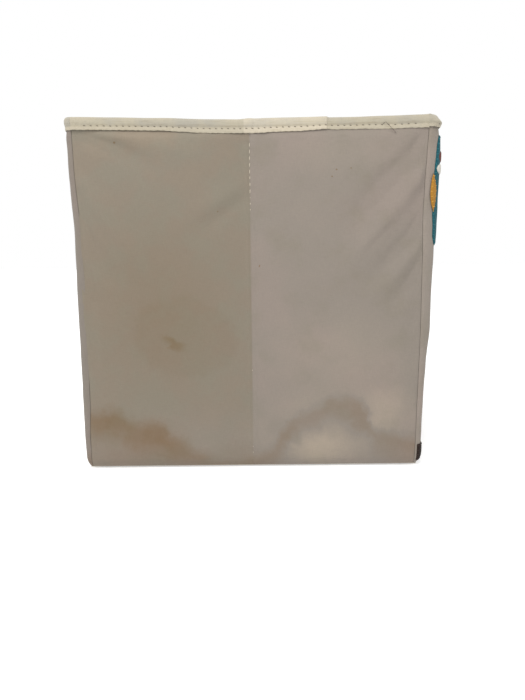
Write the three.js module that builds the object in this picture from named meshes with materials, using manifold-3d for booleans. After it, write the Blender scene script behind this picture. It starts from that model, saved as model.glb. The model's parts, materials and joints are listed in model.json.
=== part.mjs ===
// A cube-shaped fabric storage bin that folds flat.
//
// Six wall panels stand on a bottom cloth: the back, the front, and a left and a right wall that
// are each creased down the middle into a rear and a front half. Every panel is a sandwich of outer
// canvas, cardboard and lining, closed along the top by a folded binding tape. A stiff base insert
// lies on the bottom and flips up against the back wall. Felt pieces make a tree on the front.
//
// Millimetres. +Z is up, -Y is the decorated front, +X is to the right of someone who faces the
// back wall, and the origin is on the floor under the middle of the bin.

import * as THREE from 'three';
import { mergeVertices } from 'three/addons/utils/BufferGeometryUtils.js';
import Module from 'manifold-3d';

const wasm = await Module();
wasm.setup();

// ---- Driving dimensions ----

const WIDTH = 330; // outside of the left wall to outside of the right wall
const DEPTH = 330; // outside of the front wall to outside of the back wall
const HEIGHT = 330; // floor to the top of the rim
const EDGE_RADIUS = 8; // front and back canvas, round their upright edges
const SEAM_ROOM = 1; // seam allowance inside the round edge
const BOW = 8; // how far the creases of the side walls stand in at the rim
const BOW_RISE = 3; // how soon above the floor they do: 1 is an even slope, more is sooner

const GAP = 0.3; // clearance between two cloths that touch
const CANVAS = 0.8;
const BOARD = 2;
const LINING = 0.6;
const TAPE = 0.9;
const TAPE_DROP = 12; // depth of the binding on each face of the wall
const FELT = 1.2;

const WALL_FOOT = 5; // lower edge of every wall panel
const BOTTOM_RIM = 4.7; // turned-up edge of the bottom canvas
const BOTTOM_ROUND = 6; // how far the bottom canvas curves in under the walls
const BOTTOM_LINING = 0.5;

const INSERT_WIDTH = 302; // passes between the bowed side rims
const INSERT_COVER = 0.5;

// ---- Values worked out from them ----

const HALF_W = WIDTH / 2;
const HALF_D = DEPTH / 2;
const STACK = CANVAS + GAP + BOARD + GAP + LINING;
const BOARD_DEPTH = CANVAS + GAP;
const LINING_DEPTH = BOARD_DEPTH + BOARD + GAP;
const WALL_TOP = HEIGHT - TAPE - GAP;
const CREASE_GAP = GAP / 2;
const PANEL_END = HALF_D - EDGE_RADIUS - CREASE_GAP; // y of the corner seams, the side wall hinges
const BOARD_MARGIN = 4;
const INSERT_FLOOR = CANVAS + GAP + BOTTOM_LINING + GAP;
const INSERT_THICK = BOARD + GAP + INSERT_COVER;
const INSERT_REAR = HALF_D - STACK - GAP - INSERT_THICK; // leaves room to stand against the lining
const INSERT_FRONT = -(PANEL_END + CREASE_GAP);

// ---- Materials ----

const finish = (color, roughness) => new THREE.MeshStandardMaterial({ color, roughness, metalness: 0 });
const canvas = finish(0xb4a692, 0.95);
const boardFinish = finish(0x9a8a70, 0.9);
const liningFinish = finish(0xd2c9b6, 0.95);
const tape = finish(0xd8cfba, 0.9);
const tealFelt = finish(0x30595a, 1);
const ochreFelt = finish(0xb48228, 1);
const brownFelt = finish(0x23140d, 1);
const creamFelt = finish(0xe4dccb, 1);
const redFelt = finish(0x7d3a2c, 1);

const bin = new THREE.Group();

/** Names a solid, gives it its finish and adds it to the bin. */
function addPiece(name, geometry, material) {
  const mesh = new THREE.Mesh(geometry, material);
  mesh.name = name;
  bin.add(mesh);
}

// ---- Booleans ----

function toSolid(geometry) {
  const bare = geometry.clone();
  bare.deleteAttribute('normal');
  bare.deleteAttribute('uv');
  const merged = mergeVertices(bare, 1e-4);
  return new wasm.Manifold(
    new wasm.Mesh({
      numProp: 3,
      vertProperties: Float32Array.from(merged.attributes.position.array),
      triVerts: Uint32Array.from(merged.index.array),
    }),
  );
}

function toGeometry(solid) {
  const mesh = solid.getMesh();
  const geometry = new THREE.BufferGeometry();
  geometry.setAttribute('position', new THREE.BufferAttribute(mesh.vertProperties, 3));
  geometry.setIndex(new THREE.BufferAttribute(mesh.triVerts, 1));
  geometry.computeVertexNormals();
  return geometry;
}

/** The first solid with the second one cut out of it. */
function cut(body, hollow) {
  return toGeometry(toSolid(body).subtract(toSolid(hollow)));
}

/** A box given by its lowest and highest corners. */
function boxBetween([x0, y0, z0], [x1, y1, z1], segments = [1, 1, 1]) {
  const box = new THREE.BoxGeometry(x1 - x0, y1 - y0, z1 - z0, ...segments);
  return box.translate((x0 + x1) / 2, (y0 + y1) / 2, (z0 + z1) / 2);
}

/** A flat outline stood up between two heights. */
function prism(shape, z0, z1, curveSegments = 5) {
  const options = { depth: z1 - z0, bevelEnabled: false, curveSegments };
  return new THREE.ExtrudeGeometry(shape, options).translate(0, 0, z0);
}

// ---- Front and back walls ----
//
// Seen from above, the canvas of the front or back wall runs straight across and turns a quarter
// circle towards the side wall at each end, where the corner seam is. Both are drawn as the front
// wall; the back one is the same shape turned half round.

/**
 * Plan of a layer that follows the front wall's bend: `out` beyond the canvas face, `inFace` behind
 * it on the straight part and `inEdge` behind it at the two ends.
 */
function wallPlan(out, inFace, inEdge) {
  const centreX = HALF_W - EDGE_RADIUS;
  const radius = EDGE_RADIUS + out;
  const end = -PANEL_END - CREASE_GAP;
  const inner = HALF_W - inEdge;
  const shape = new THREE.Shape();
  shape.moveTo(-HALF_W - out, end);
  shape.absarc(-centreX, end, radius, Math.PI, 1.5 * Math.PI, false);
  shape.absarc(centreX, end, radius, 1.5 * Math.PI, 2 * Math.PI, false);
  shape.lineTo(inner, end);
  if (inFace <= inEdge) {
    const innerRadius = EDGE_RADIUS - inEdge;
    shape.absarc(centreX, end, innerRadius, 0, -Math.PI / 2, true);
    shape.absarc(-centreX, end, innerRadius, -Math.PI / 2, -Math.PI, true);
  } else {
    const face = -HALF_D + inFace;
    shape.lineTo(inner, face);
    shape.lineTo(-inner, face);
    shape.lineTo(-inner, end);
  }
  return shape;
}

function endWallBinding() {
  const wrap = GAP + TAPE;
  const edge = CANVAS + SEAM_ROOM;
  const outline = wallPlan(wrap, STACK + wrap, edge + wrap);
  const hollow = wallPlan(GAP, STACK + GAP, edge + GAP);
  const body = prism(outline, HEIGHT - TAPE_DROP, HEIGHT);
  const stack = prism(hollow, HEIGHT - TAPE_DROP - 1, WALL_TOP + GAP);
  const openEnds = boxBetween(
    [-WIDTH, -PANEL_END - 2 * CREASE_GAP, 0],
    [WIDTH, 0, WALL_TOP + GAP],
  );
  return toGeometry(toSolid(body).subtract(toSolid(stack)).subtract(toSolid(openEnds)));
}

function addEndWall(name, turn) {
  const boardHalf = PANEL_END - CREASE_GAP;
  const liningHalf = HALF_W - EDGE_RADIUS / 2;
  const boardFace = -HALF_D + BOARD_DEPTH;
  const liningFace = -HALF_D + LINING_DEPTH;
  const layers = [
    ['canvas', prism(wallPlan(0, CANVAS, CANVAS), WALL_FOOT, WALL_TOP), canvas],
    [
      'board',
      boxBetween(
        [-boardHalf, boardFace, WALL_FOOT + BOARD_MARGIN],
        [boardHalf, boardFace + BOARD, WALL_TOP - BOARD_MARGIN],
      ),
      boardFinish,
    ],
    [
      'lining',
      boxBetween([-liningHalf, liningFace, WALL_FOOT], [liningHalf, liningFace + LINING, WALL_TOP]),
      liningFinish,
    ],
    ['binding', endWallBinding(), tape],
  ];
  for (const [layer, geometry, material] of layers) {
    addPiece(`${name}_${layer}`, geometry.rotateZ(turn), material);
  }
}

// ---- Side walls ----

/** Draws a side wall in towards the bin, most at its crease and at the rim. */
function bowIn(geometry, side) {
  const at = geometry.attributes.position;
  for (let i = 0; i < at.count; i += 1) {
    const alongWall = 1 - Math.abs(at.getY(i)) / PANEL_END;
    const upWall = 1 - (1 - at.getZ(i) / HEIGHT) ** BOW_RISE;
    at.setX(i, at.getX(i) - side * BOW * alongWall * upWall);
  }
  return geometry;
}

/** One flat layer of a side wall, `depth` behind the canvas face and `thick` through. */
function sideLayer(side, y0, y1, z0, z1, depth, thick) {
  const outer = side * (HALF_W - depth);
  const inner = side * (HALF_W - depth - thick);
  const low = [Math.min(outer, inner), y0, z0];
  const high = [Math.max(outer, inner), y1, z1];
  return bowIn(boxBetween(low, high, [1, 6, 9]), side);
}

/** The binding of a half side wall: an upside-down U drawn in plan X-Z and run along the rim. */
function sideBinding(side, y0, y1) {
  const wrap = GAP + TAPE;
  const outer = HALF_W + wrap;
  const inner = HALF_W - STACK - wrap;
  const foot = HEIGHT - TAPE_DROP;
  const shape = new THREE.Shape();
  shape.moveTo(inner, foot);
  shape.lineTo(inner + TAPE, foot);
  shape.lineTo(inner + TAPE, HEIGHT - TAPE);
  shape.lineTo(outer - TAPE, HEIGHT - TAPE);
  shape.lineTo(outer - TAPE, foot);
  shape.lineTo(outer, foot);
  shape.lineTo(outer, HEIGHT);
  shape.lineTo(inner, HEIGHT);
  shape.closePath();
  const options = { depth: y1 - y0, steps: 6, bevelEnabled: false };
  const run = new THREE.ExtrudeGeometry(shape, options).rotateX(Math.PI / 2);
  if (side > 0) {
    run.translate(0, y1, 0);
  } else {
    run.rotateZ(Math.PI).translate(0, y0, 0);
  }
  return bowIn(run, side);
}

function addSideHalf(name, side, end) {
  const near = CREASE_GAP;
  const far = PANEL_END - CREASE_GAP;
  const [y0, y1] = end > 0 ? [near, far] : [-far, -near];
  const boardFoot = WALL_FOOT + BOARD_MARGIN;
  const boardTop = WALL_TOP - BOARD_MARGIN;
  const board = [y0 + BOARD_MARGIN, y1 - BOARD_MARGIN, boardFoot, boardTop, BOARD_DEPTH, BOARD];
  const layers = [
    ['canvas', sideLayer(side, y0, y1, WALL_FOOT, WALL_TOP, 0, CANVAS), canvas],
    ['board', sideLayer(side, ...board), boardFinish],
    ['lining', sideLayer(side, y0, y1, WALL_FOOT, WALL_TOP, LINING_DEPTH, LINING), liningFinish],
    ['binding', sideBinding(side, y0, y1), tape],
  ];
  for (const [layer, geometry, material] of layers) {
    addPiece(`${name}_${layer}`, geometry, material);
  }
}

// ---- Bottom ----

/** A square with rounded corners, in plan, `inset` inside the bin's outline. */
function bottomPlan(inset) {
  const x = HALF_W - inset;
  const y = HALF_D - inset;
  const r = EDGE_RADIUS;
  const shape = new THREE.Shape();
  shape.moveTo(x, -y + r);
  shape.absarc(x - r, y - r, r, 0, Math.PI / 2, false);
  shape.absarc(-x + r, y - r, r, Math.PI / 2, Math.PI, false);
  shape.absarc(-x + r, -y + r, r, Math.PI, 1.5 * Math.PI, false);
  shape.absarc(x - r, -y + r, r, 1.5 * Math.PI, 2 * Math.PI, false);
  return shape;
}

/** A block whose lower edge curves in, `inset` inside the bin's outline, open to `top`. */
function roundedBlock(inset, foot, top) {
  const options = {
    depth: top,
    bevelEnabled: true,
    bevelThickness: BOTTOM_RIM,
    bevelSize: BOTTOM_ROUND,
    bevelOffset: -BOTTOM_ROUND,
    bevelSegments: 4,
    curveSegments: 5,
  };
  const block = new THREE.ExtrudeGeometry(bottomPlan(inset), options);
  return block.translate(0, 0, foot + BOTTOM_RIM);
}

function addBottom() {
  const tray = toSolid(roundedBlock(0, 0, BOTTOM_RIM));
  const hollow = toSolid(roundedBlock(CANVAS, CANVAS, 3 * BOTTOM_RIM));
  const above = toSolid(boxBetween([-WIDTH, -DEPTH, BOTTOM_RIM], [WIDTH, DEPTH, HEIGHT]));
  addPiece('bottom_canvas', toGeometry(tray.subtract(hollow).subtract(above)), canvas);
  const liningInset = CANVAS + BOTTOM_ROUND + GAP;
  const liningFoot = CANVAS + GAP;
  const lining = prism(bottomPlan(liningInset), liningFoot, liningFoot + BOTTOM_LINING);
  addPiece('bottom_lining', lining, liningFinish);
}

// ---- Base insert ----

function addInsert() {
  const half = INSERT_WIDTH / 2;
  const top = INSERT_FLOOR + INSERT_THICK;
  const edge = INSERT_COVER + GAP;
  const cover = boxBetween([-half, INSERT_FRONT, INSERT_FLOOR], [half, INSERT_REAR, top]);
  const pocket = boxBetween(
    [-half + INSERT_COVER, INSERT_FRONT + INSERT_COVER, 0],
    [half - INSERT_COVER, INSERT_REAR - INSERT_COVER, top - INSERT_COVER],
  );
  addPiece('insert_cover', cut(cover, pocket), liningFinish);
  const board = boxBetween(
    [-half + edge, INSERT_FRONT + edge, INSERT_FLOOR],
    [half - edge, INSERT_REAR - edge, INSERT_FLOOR + BOARD],
  );
  addPiece('insert_board', board, boardFinish);
}

// ---- Felt tree on the front ----
//
// Outlines are drawn looking at the front, x to the right and y up from the floor, and stood
// against the canvas. `layer` counts the felts that lie under a piece.

function addFelt(name, shape, layer, material, curveSegments = 6) {
  const options = { depth: FELT, bevelEnabled: false, curveSegments };
  const felt = new THREE.ExtrudeGeometry(shape, options).rotateX(Math.PI / 2);
  const back = -HALF_D - GAP - layer * (FELT + GAP);
  addPiece(name, felt.translate(0, back, 0), material);
}

/** A round spot with its centre and radius. */
function spot(x, z, radius) {
  return new THREE.Shape().absarc(x, z, radius, 0, 2 * Math.PI, false);
}

/** A pointed leaf of the given length and breadth, its stalk end at x, z, turned by `angle`. */
function leaf(x, z, length, breadth, angle) {
  const turned = (along, across) => new THREE.Vector2(
    x + along * Math.cos(angle) - across * Math.sin(angle),
    z + along * Math.sin(angle) + across * Math.cos(angle),
  );
  const tip = turned(length, 0);
  const left = turned(length / 2, breadth);
  const right = turned(length / 2, -breadth);
  const shape = new THREE.Shape();
  shape.moveTo(x, z);
  shape.quadraticCurveTo(right.x, right.y, tip.x, tip.y);
  shape.quadraticCurveTo(left.x, left.y, x, z);
  return shape;
}

function groundBand() {
  const edge = PANEL_END;
  const shape = new THREE.Shape();
  shape.moveTo(-edge, WALL_FOOT);
  shape.lineTo(edge, WALL_FOOT);
  shape.lineTo(edge, 24);
  shape.quadraticCurveTo(edge / 2, 40, 0, 34);
  shape.quadraticCurveTo(-edge / 2, 26, -edge, 22);
  return shape;
}

/** The trunk, with a spread foot and a fork that reaches up into the crown. */
function trunk() {
  const shape = new THREE.Shape();
  shape.moveTo(-38, 28);
  shape.quadraticCurveTo(-16, 44, -15, 110);
  shape.quadraticCurveTo(-16, 170, -44, 214);
  shape.quadraticCurveTo(-14, 198, 0, 176);
  shape.quadraticCurveTo(14, 198, 44, 214);
  shape.quadraticCurveTo(16, 170, 15, 110);
  shape.quadraticCurveTo(16, 44, 38, 28);
  return shape;
}

/** The crown: a ring of round lobes about a middle point. */
function crown() {
  const lobes = 9;
  const [middleX, middleZ] = [0, 250];
  const [reachX, reachZ, swell] = [150, 52, 1.16];
  const shape = new THREE.Shape();
  const valley = (i) => {
    const angle = (2 * Math.PI * i) / lobes;
    return [middleX + reachX * Math.cos(angle), middleZ + reachZ * Math.sin(angle)];
  };
  const peak = (i) => {
    const angle = (2 * Math.PI * (i + 0.5)) / lobes;
    const stretch = 2 * swell - Math.cos(Math.PI / lobes);
    return [
      middleX + (reachX * Math.cos(angle) * stretch) / swell,
      middleZ + reachZ * Math.sin(angle) * stretch,
    ];
  };
  shape.moveTo(...valley(0));
  for (let i = 0; i < lobes; i += 1) {
    shape.quadraticCurveTo(...peak(i), ...valley(i + 1));
  }
  return shape;
}

function addTree() {
  addFelt('ground_band', groundBand(), 0, brownFelt);
  addFelt('tree_crown', crown(), 0, tealFelt);
  addFelt('tree_trunk', trunk(), 1, brownFelt);
  const leaves = [[-158, 272, -1.45], [-84, 276, -0.5], [10, 296, -0.3], [92, 280, -2.4]];
  leaves.forEach(([x, z, angle], i) => {
    addFelt(`ochre_leaf_${i + 1}`, leaf(x, z, 34, 14, angle), 1, ochreFelt);
  });
  const fruits = [[-149, 293, 6], [-112, 226, 9], [-50, 240, 9], [58, 244, 9], [118, 232, 9]];
  fruits.forEach(([x, z, radius], i) => {
    addFelt(`fruit_${i + 1}`, spot(x, z, radius), 1, redFelt);
  });
  const blossoms = [[-152, 280, 5], [-114, 272, 7], [-14, 258, 7], [44, 274, 7], [128, 268, 7]];
  blossoms.forEach(([x, z, radius], i) => {
    addFelt(`blossom_${i + 1}`, spot(x, z, radius), 1, creamFelt);
  });
}

// ---- The bin ----

addBottom();
addInsert();
addEndWall('back', Math.PI);
addEndWall('front', 0);
addSideHalf('left_rear', -1, 1);
addSideHalf('left_front', -1, -1);
addSideHalf('right_rear', 1, 1);
addSideHalf('right_front', 1, -1);
addTree();

export default bin;
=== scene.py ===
"""Folding fabric storage bin: cloth, binding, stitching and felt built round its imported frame.

Every length is in metres. The bin stands on the floor at z = 0 with its felt picture towards -Y.
Each wall is worked out in its own flat measure, seen from outside: `along` runs to the right from
the wall's middle and `up` from the floor. That measure is also the wall's UV map, so a pattern
stays with its cloth when the bin folds.
"""
import json
import logging
import math
from dataclasses import dataclass, field
from enum import Enum
from typing import Any, Callable, Optional, Sequence

import bmesh
import bpy
from mathutils import Matrix, Vector, noise


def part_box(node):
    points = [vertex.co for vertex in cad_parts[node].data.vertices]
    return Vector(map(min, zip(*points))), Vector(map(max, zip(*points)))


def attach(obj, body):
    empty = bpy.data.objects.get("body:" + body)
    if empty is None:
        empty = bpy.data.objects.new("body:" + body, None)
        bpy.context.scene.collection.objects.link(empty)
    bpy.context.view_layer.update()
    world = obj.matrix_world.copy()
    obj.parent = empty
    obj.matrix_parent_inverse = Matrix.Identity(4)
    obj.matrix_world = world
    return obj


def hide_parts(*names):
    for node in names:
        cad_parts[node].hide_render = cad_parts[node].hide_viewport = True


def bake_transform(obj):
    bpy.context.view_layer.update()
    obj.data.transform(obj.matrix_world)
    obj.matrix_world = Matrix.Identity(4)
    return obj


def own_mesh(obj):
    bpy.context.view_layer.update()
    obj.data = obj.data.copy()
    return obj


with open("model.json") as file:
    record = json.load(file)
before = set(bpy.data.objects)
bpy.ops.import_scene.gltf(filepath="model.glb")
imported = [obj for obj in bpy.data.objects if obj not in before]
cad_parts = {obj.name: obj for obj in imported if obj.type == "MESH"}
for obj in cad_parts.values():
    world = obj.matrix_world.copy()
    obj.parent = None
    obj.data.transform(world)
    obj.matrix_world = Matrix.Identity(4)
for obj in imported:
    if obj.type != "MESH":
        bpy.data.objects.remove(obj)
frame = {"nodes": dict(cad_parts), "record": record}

log = logging.getLogger("storage_bin")

MM = 0.001
UV_NAME = "cloth"
Colour = tuple[float, float, float]
Point2 = tuple[float, float]
Point3 = tuple[float, float, float]


# ---------------------------------------------------------------------------------------------
# Small sums
# ---------------------------------------------------------------------------------------------

def ease(low: float, high: float, x: float) -> float:
    """Smooth step from 0 at `low` to 1 at `high`, which may be the smaller of the two."""
    t = min(1.0, max(0.0, (x - low) / (high - low)))
    return t * t * (3.0 - 2.0 * t)


def hump(x: float, width: float) -> float:
    """Bell curve of height 1 at x = 0 that falls to 1/e at `width`."""
    return math.exp(-((x / width) ** 2))


def rumple(x: float, y: float, size: float, seed: float = 0.0) -> float:
    """Smooth random height between about -1 and 1, with bumps about `size` across."""
    return noise.noise(Vector((x / size, y / size, seed)))


def profile(points: Sequence[Point2], x: float) -> float:
    """A smooth line through (x, y) points in rising order of x, level beyond its ends.

    Args:
        points: its points.
        x: where it is read.

    Returns:
        Its height there.
    """
    if x <= points[0][0]:
        return points[0][1]
    for (x0, y0), (x1, y1) in zip(points, points[1:]):
        if x <= x1:
            return y0 + (y1 - y0) * ease(x0, x1, x)
    return points[-1][1]


def stations(stops: Sequence[Point2]) -> list[float]:
    """Grid lines across a cloth.

    Args:
        stops: (position, spacing from there to the next stop) pairs; the last spacing is unused.

    Returns:
        The positions of the grid lines, first and last stop included.
    """
    lines = [stops[0][0]]
    for (start, step), (end, _) in zip(stops, stops[1:]):
        count = max(1, round((end - start) / step))
        lines += [start + (end - start) * (i + 1) / count for i in range(count)]
    return lines


def measured(line: Sequence[Point2]) -> dict[float, Point2]:
    """The points of a line by their distance along it.

    Args:
        line: its points in order.

    Returns:
        Each point by its distance from the first.
    """
    run = 0.0
    found = {run: line[0]}
    for before, after in zip(line, line[1:]):
        run += math.hypot(after[0] - before[0], after[1] - before[1])
        found[run] = after
    return found


# ---------------------------------------------------------------------------------------------
# Sizes taken from the frame
# ---------------------------------------------------------------------------------------------

@dataclass(frozen=True)
class BinSizes:
    """Sizes that every part of the bin shares.

    Args:
        half: half the bin's width and depth, to the canvas faces.
        top: height of the rim.
        foot: lower edge of the walls.
        seam: distance of the corner seams from the middle of a side wall.
        round_edge: radius of the upright edges of the front and back.
        canvas: thickness of the canvas.
        lining_face: depth of the lining's inner face behind the canvas face.
        bow: how far a side wall's crease stands in at the rim.
        bow_rise: how soon above the floor it does.
        hem_round: height over which the walls curve in under the bin.
        hem_reach: how far they curve in.
    """

    half: float
    top: float
    foot: float
    seam: float
    round_edge: float
    canvas: float = 0.8 * MM
    lining_face: float = 4.0 * MM
    bow: float = 8 * MM
    bow_rise: float = 3.0
    hem_round: float = 11 * MM
    hem_reach: float = 8 * MM

    @classmethod
    def from_frame(cls) -> "BinSizes":
        """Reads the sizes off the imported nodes.

        Returns:
            The sizes.
        """
        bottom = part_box("bottom_canvas")[1]
        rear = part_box("left_rear_canvas")
        back_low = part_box("back_canvas")[0]
        return cls(
            half=bottom.x,
            top=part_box("back_binding")[1].z,
            foot=rear[0].z,
            seam=rear[1].y,
            round_edge=bottom.y - back_low.y,
        )

    def bow_at(self, along: float, up: float) -> float:
        """How far a side wall stands in at a place."""
        across = 1.0 - min(1.0, abs(along) / self.seam)
        return self.bow * across * (1.0 - (1.0 - up / self.top) ** self.bow_rise)

    def tuck_at(self, up: float) -> float:
        """How far every wall is curved in under the bin at a height."""
        if up >= self.hem_round:
            return 0.0
        below = (self.hem_round - up) / self.hem_round
        return self.hem_reach * (1.0 - math.sqrt(max(0.0, 1.0 - below * below)))


SIZES = BinSizes.from_frame()


# ---------------------------------------------------------------------------------------------
# Shader building
# ---------------------------------------------------------------------------------------------

class Value:
    """A number that varies over a surface; sums on it add Math nodes."""

    def __init__(self, shader: "Shader", socket: bpy.types.NodeSocket) -> None:
        """Wraps a socket of a shader."""
        self.shader = shader
        self.socket = socket

    def _math(self, operation: str, *terms: Any) -> "Value":
        """Adds one Math node over the given terms."""
        inputs = dict(enumerate(terms))
        return self.shader.value("ShaderNodeMath", {"operation": operation}, inputs)

    def __add__(self, other: Any) -> "Value":
        """self + other."""
        return self._math("ADD", self, other)

    def __sub__(self, other: Any) -> "Value":
        """self - other."""
        return self._math("SUBTRACT", self, other)

    def __rsub__(self, other: Any) -> "Value":
        """other - self."""
        return self._math("SUBTRACT", other, self)

    def __mul__(self, other: Any) -> "Value":
        """self * other."""
        return self._math("MULTIPLY", self, other)

    def __truediv__(self, other: Any) -> "Value":
        """self / other."""
        return self._math("DIVIDE", self, other)

    def __pow__(self, other: Any) -> "Value":
        """self to the power of other."""
        return self._math("POWER", self, other)

    __radd__ = __add__
    __rmul__ = __mul__

    def fraction(self) -> "Value":
        """What is left above the whole number below."""
        return self._math("FRACT", self)

    def floor(self) -> "Value":
        """The whole number below."""
        return self._math("FLOOR", self)

    def size(self) -> "Value":
        """The number without its sign."""
        return self._math("ABSOLUTE", self)

    def most(self, other: Any) -> "Value":
        """The larger of two."""
        return self._math("MAXIMUM", self, other)

    def least(self, other: Any) -> "Value":
        """The smaller of two."""
        return self._math("MINIMUM", self, other)

    def ease(self, low: Any, high: Any) -> "Value":
        """Smooth step from 0 at low to 1 at high."""
        settings = {"interpolation_type": "SMOOTHSTEP"}
        inputs = {"Value": self, "From Min": low, "From Max": high}
        return self.shader.value("ShaderNodeMapRange", settings, inputs)


class Shader:
    """One material on a Principled BSDF, written as expressions."""

    def __init__(self, name: str) -> None:
        """Starts an empty material.

        Args:
            name: the material's name.
        """
        self.material = bpy.data.materials.new(name)
        self.material.use_nodes = True
        self.tree = self.material.node_tree
        self.tree.nodes.clear()
        self.surface = self.node("ShaderNodeBsdfPrincipled")
        self.node("ShaderNodeOutputMaterial", inputs={"Surface": self.surface.outputs[0]})

    def node(
        self, kind: str, settings: Optional[dict] = None, inputs: Optional[dict] = None
    ) -> bpy.types.Node:
        """Adds a node.

        Args:
            kind: the node's type.
            settings: its properties, set first; a callable is given the node.
            inputs: a number, colour, Value or socket for each input, by name or place.

        Returns:
            The node.
        """
        made = self.tree.nodes.new(kind)
        for key, setting in (settings or {}).items():
            if callable(setting):
                setting(made)
            else:
                setattr(made, key, setting)
        for key, given in (inputs or {}).items():
            self.feed(made.inputs[key], given)
        return made

    def feed(self, socket: bpy.types.NodeSocket, given: Any) -> None:
        """Sets an input socket to a constant or links it.

        Args:
            socket: the input.
            given: a plain value, a socket or a wrapped one.
        """
        if isinstance(given, Value):
            given = given.socket
        if isinstance(given, bpy.types.NodeSocket):
            self.tree.links.new(given, socket)
        elif isinstance(given, tuple) and len(given) == 3 and socket.type == "RGBA":
            socket.default_value = (*given, 1.0)
        else:
            socket.default_value = given

    def value(self, kind: str, settings: dict, inputs: dict, output: int = 0) -> Value:
        """Adds a node and wraps one of its outputs."""
        return Value(self, self.node(kind, settings, inputs).outputs[output])

    def flat(self) -> tuple[bpy.types.NodeSocket, Value, Value]:
        """The cloth's own flat measure: the vector, and its across and up parts."""
        uv = self.node("ShaderNodeUVMap", {"uv_map": UV_NAME}).outputs[0]
        parts = self.node("ShaderNodeSeparateXYZ", inputs={0: uv})
        return uv, Value(self, parts.outputs[0]), Value(self, parts.outputs[1])

    def stretch(self, vector: bpy.types.NodeSocket, scale: Point3) -> bpy.types.NodeSocket:
        """A vector with each part scaled on its own."""
        inputs = {0: vector, 1: scale}
        return self.node("ShaderNodeVectorMath", {"operation": "MULTIPLY"}, inputs).outputs[0]

    def noise(self, vector: Any, scale: float, detail: float = 2.0, rough: float = 0.5) -> Value:
        """Noise from 0 to 1 that averages 0.5, `scale` bumps to the metre."""
        inputs = {"Vector": vector, "Scale": scale, "Detail": detail, "Roughness": rough}
        return self.value("ShaderNodeTexNoise", {"noise_dimensions": "3D"}, inputs)

    def curve(self, given: Value, points: Sequence[Point2]) -> Value:
        """A smooth curve through given points, for an input from 0 to 1.

        Args:
            given: the input.
            points: the curve's points, in rising order.

        Returns:
            The output.
        """
        def draw(made: bpy.types.Node) -> None:
            """Puts the points on the node's curve.

            Args:
                made: the new curve node.
            """
            line = made.mapping.curves[0]
            line.points[0].location = points[0]
            line.points[1].location = points[-1]
            for place in points[1:-1]:
                line.points.new(*place)
            made.mapping.update()
        return self.value("ShaderNodeFloatCurve", {"draw": draw}, {"Value": given})

    def mix(self, first: Any, second: Any, factor: Any, blend: str = "MIX") -> bpy.types.NodeSocket:
        """Mixes two colours."""
        settings = {"data_type": "RGBA", "blend_type": blend}
        made = self.node("ShaderNodeMix", settings, {0: factor, 6: first, 7: second})
        return made.outputs[2]

    def bump(self, height: Value, strength: float = 1.0) -> None:
        """Feeds a height in metres to the surface's normal."""
        inputs = {"Height": height, "Strength": strength, "Distance": 1.0}
        self.feed(self.surface.inputs["Normal"], self.node("ShaderNodeBump", inputs=inputs).outputs[0])

    def finish(self, colour: Any, rough: Any, sheen: float = 0.0) -> bpy.types.Material:
        """Feeds the colour and roughness and returns the material.

        Args:
            colour: the base colour.
            rough: the roughness.
            sheen: weight of the sheen.

        Returns:
            The material.
        """
        self.feed(self.surface.inputs["Base Color"], colour)
        self.feed(self.surface.inputs["Roughness"], rough)
        self.surface.inputs["Specular IOR Level"].default_value = 0.25
        self.surface.inputs["Sheen Weight"].default_value = sheen
        self.surface.inputs["Sheen Roughness"].default_value = 0.5
        return self.material


def weave(shader: Shader, pitch: float, depth: float) -> tuple[Value, Value]:
    """A plain weave on the cloth's flat measure.

    Args:
        shader: the material being built.
        pitch: distance between threads.
        depth: height of a thread.

    Returns:
        The height in metres, and a colour factor from 0 in the gaps to 1 on the threads: painted shade
        in the gaps, with slubs that are the yarn's own tone.
    """
    uv, across, up = shader.flat()
    wander = (shader.noise(uv, 180.0) - 0.5) * (1.6 * pitch)
    warp = (across + wander) / pitch
    weft = (up + wander) / pitch
    warp_round = 1.0 - (warp.fraction() * 2.0 - 1.0) ** 2.0
    weft_round = 1.0 - (weft.fraction() * 2.0 - 1.0) ** 2.0
    over = ((warp.floor() + weft.floor()) * 0.5).fraction() * 2.0
    crown = (warp_round * over).most(weft_round * (1.0 - over))
    slub_up = shader.noise(shader.stretch(uv, (2600.0, 140.0, 1.0)), 1.0, 1.0)
    slub_across = shader.noise(shader.stretch(uv, (140.0, 2600.0, 1.0)), 1.0, 1.0)
    slub = slub_up + slub_across - 1.0
    # Painted shade: the colour factor is low in the gaps between threads; the slubs are the yarn's own
    # tone.
    return (crown + slub * 1.4) * depth, crown * 0.5 + slub + 0.5


# ---------------------------------------------------------------------------------------------
# Finishes
# ---------------------------------------------------------------------------------------------

@dataclass(frozen=True)
class Spot:
    """One soft mark on a cloth, in millimetres.

    Args:
        along: place of its middle, to the right.
        up: place of its middle, above the floor.
        reach: half its length.
        breadth: half its width.
        turn: angle of its length above level, in degrees.
        shade: how much of the tint it takes, below 0 for a place painted lighter.
        soft: share of its size over which it fades.
    """

    along: float
    up: float
    reach: float
    breadth: float
    turn: float
    shade: float
    soft: float = 0.6


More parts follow.
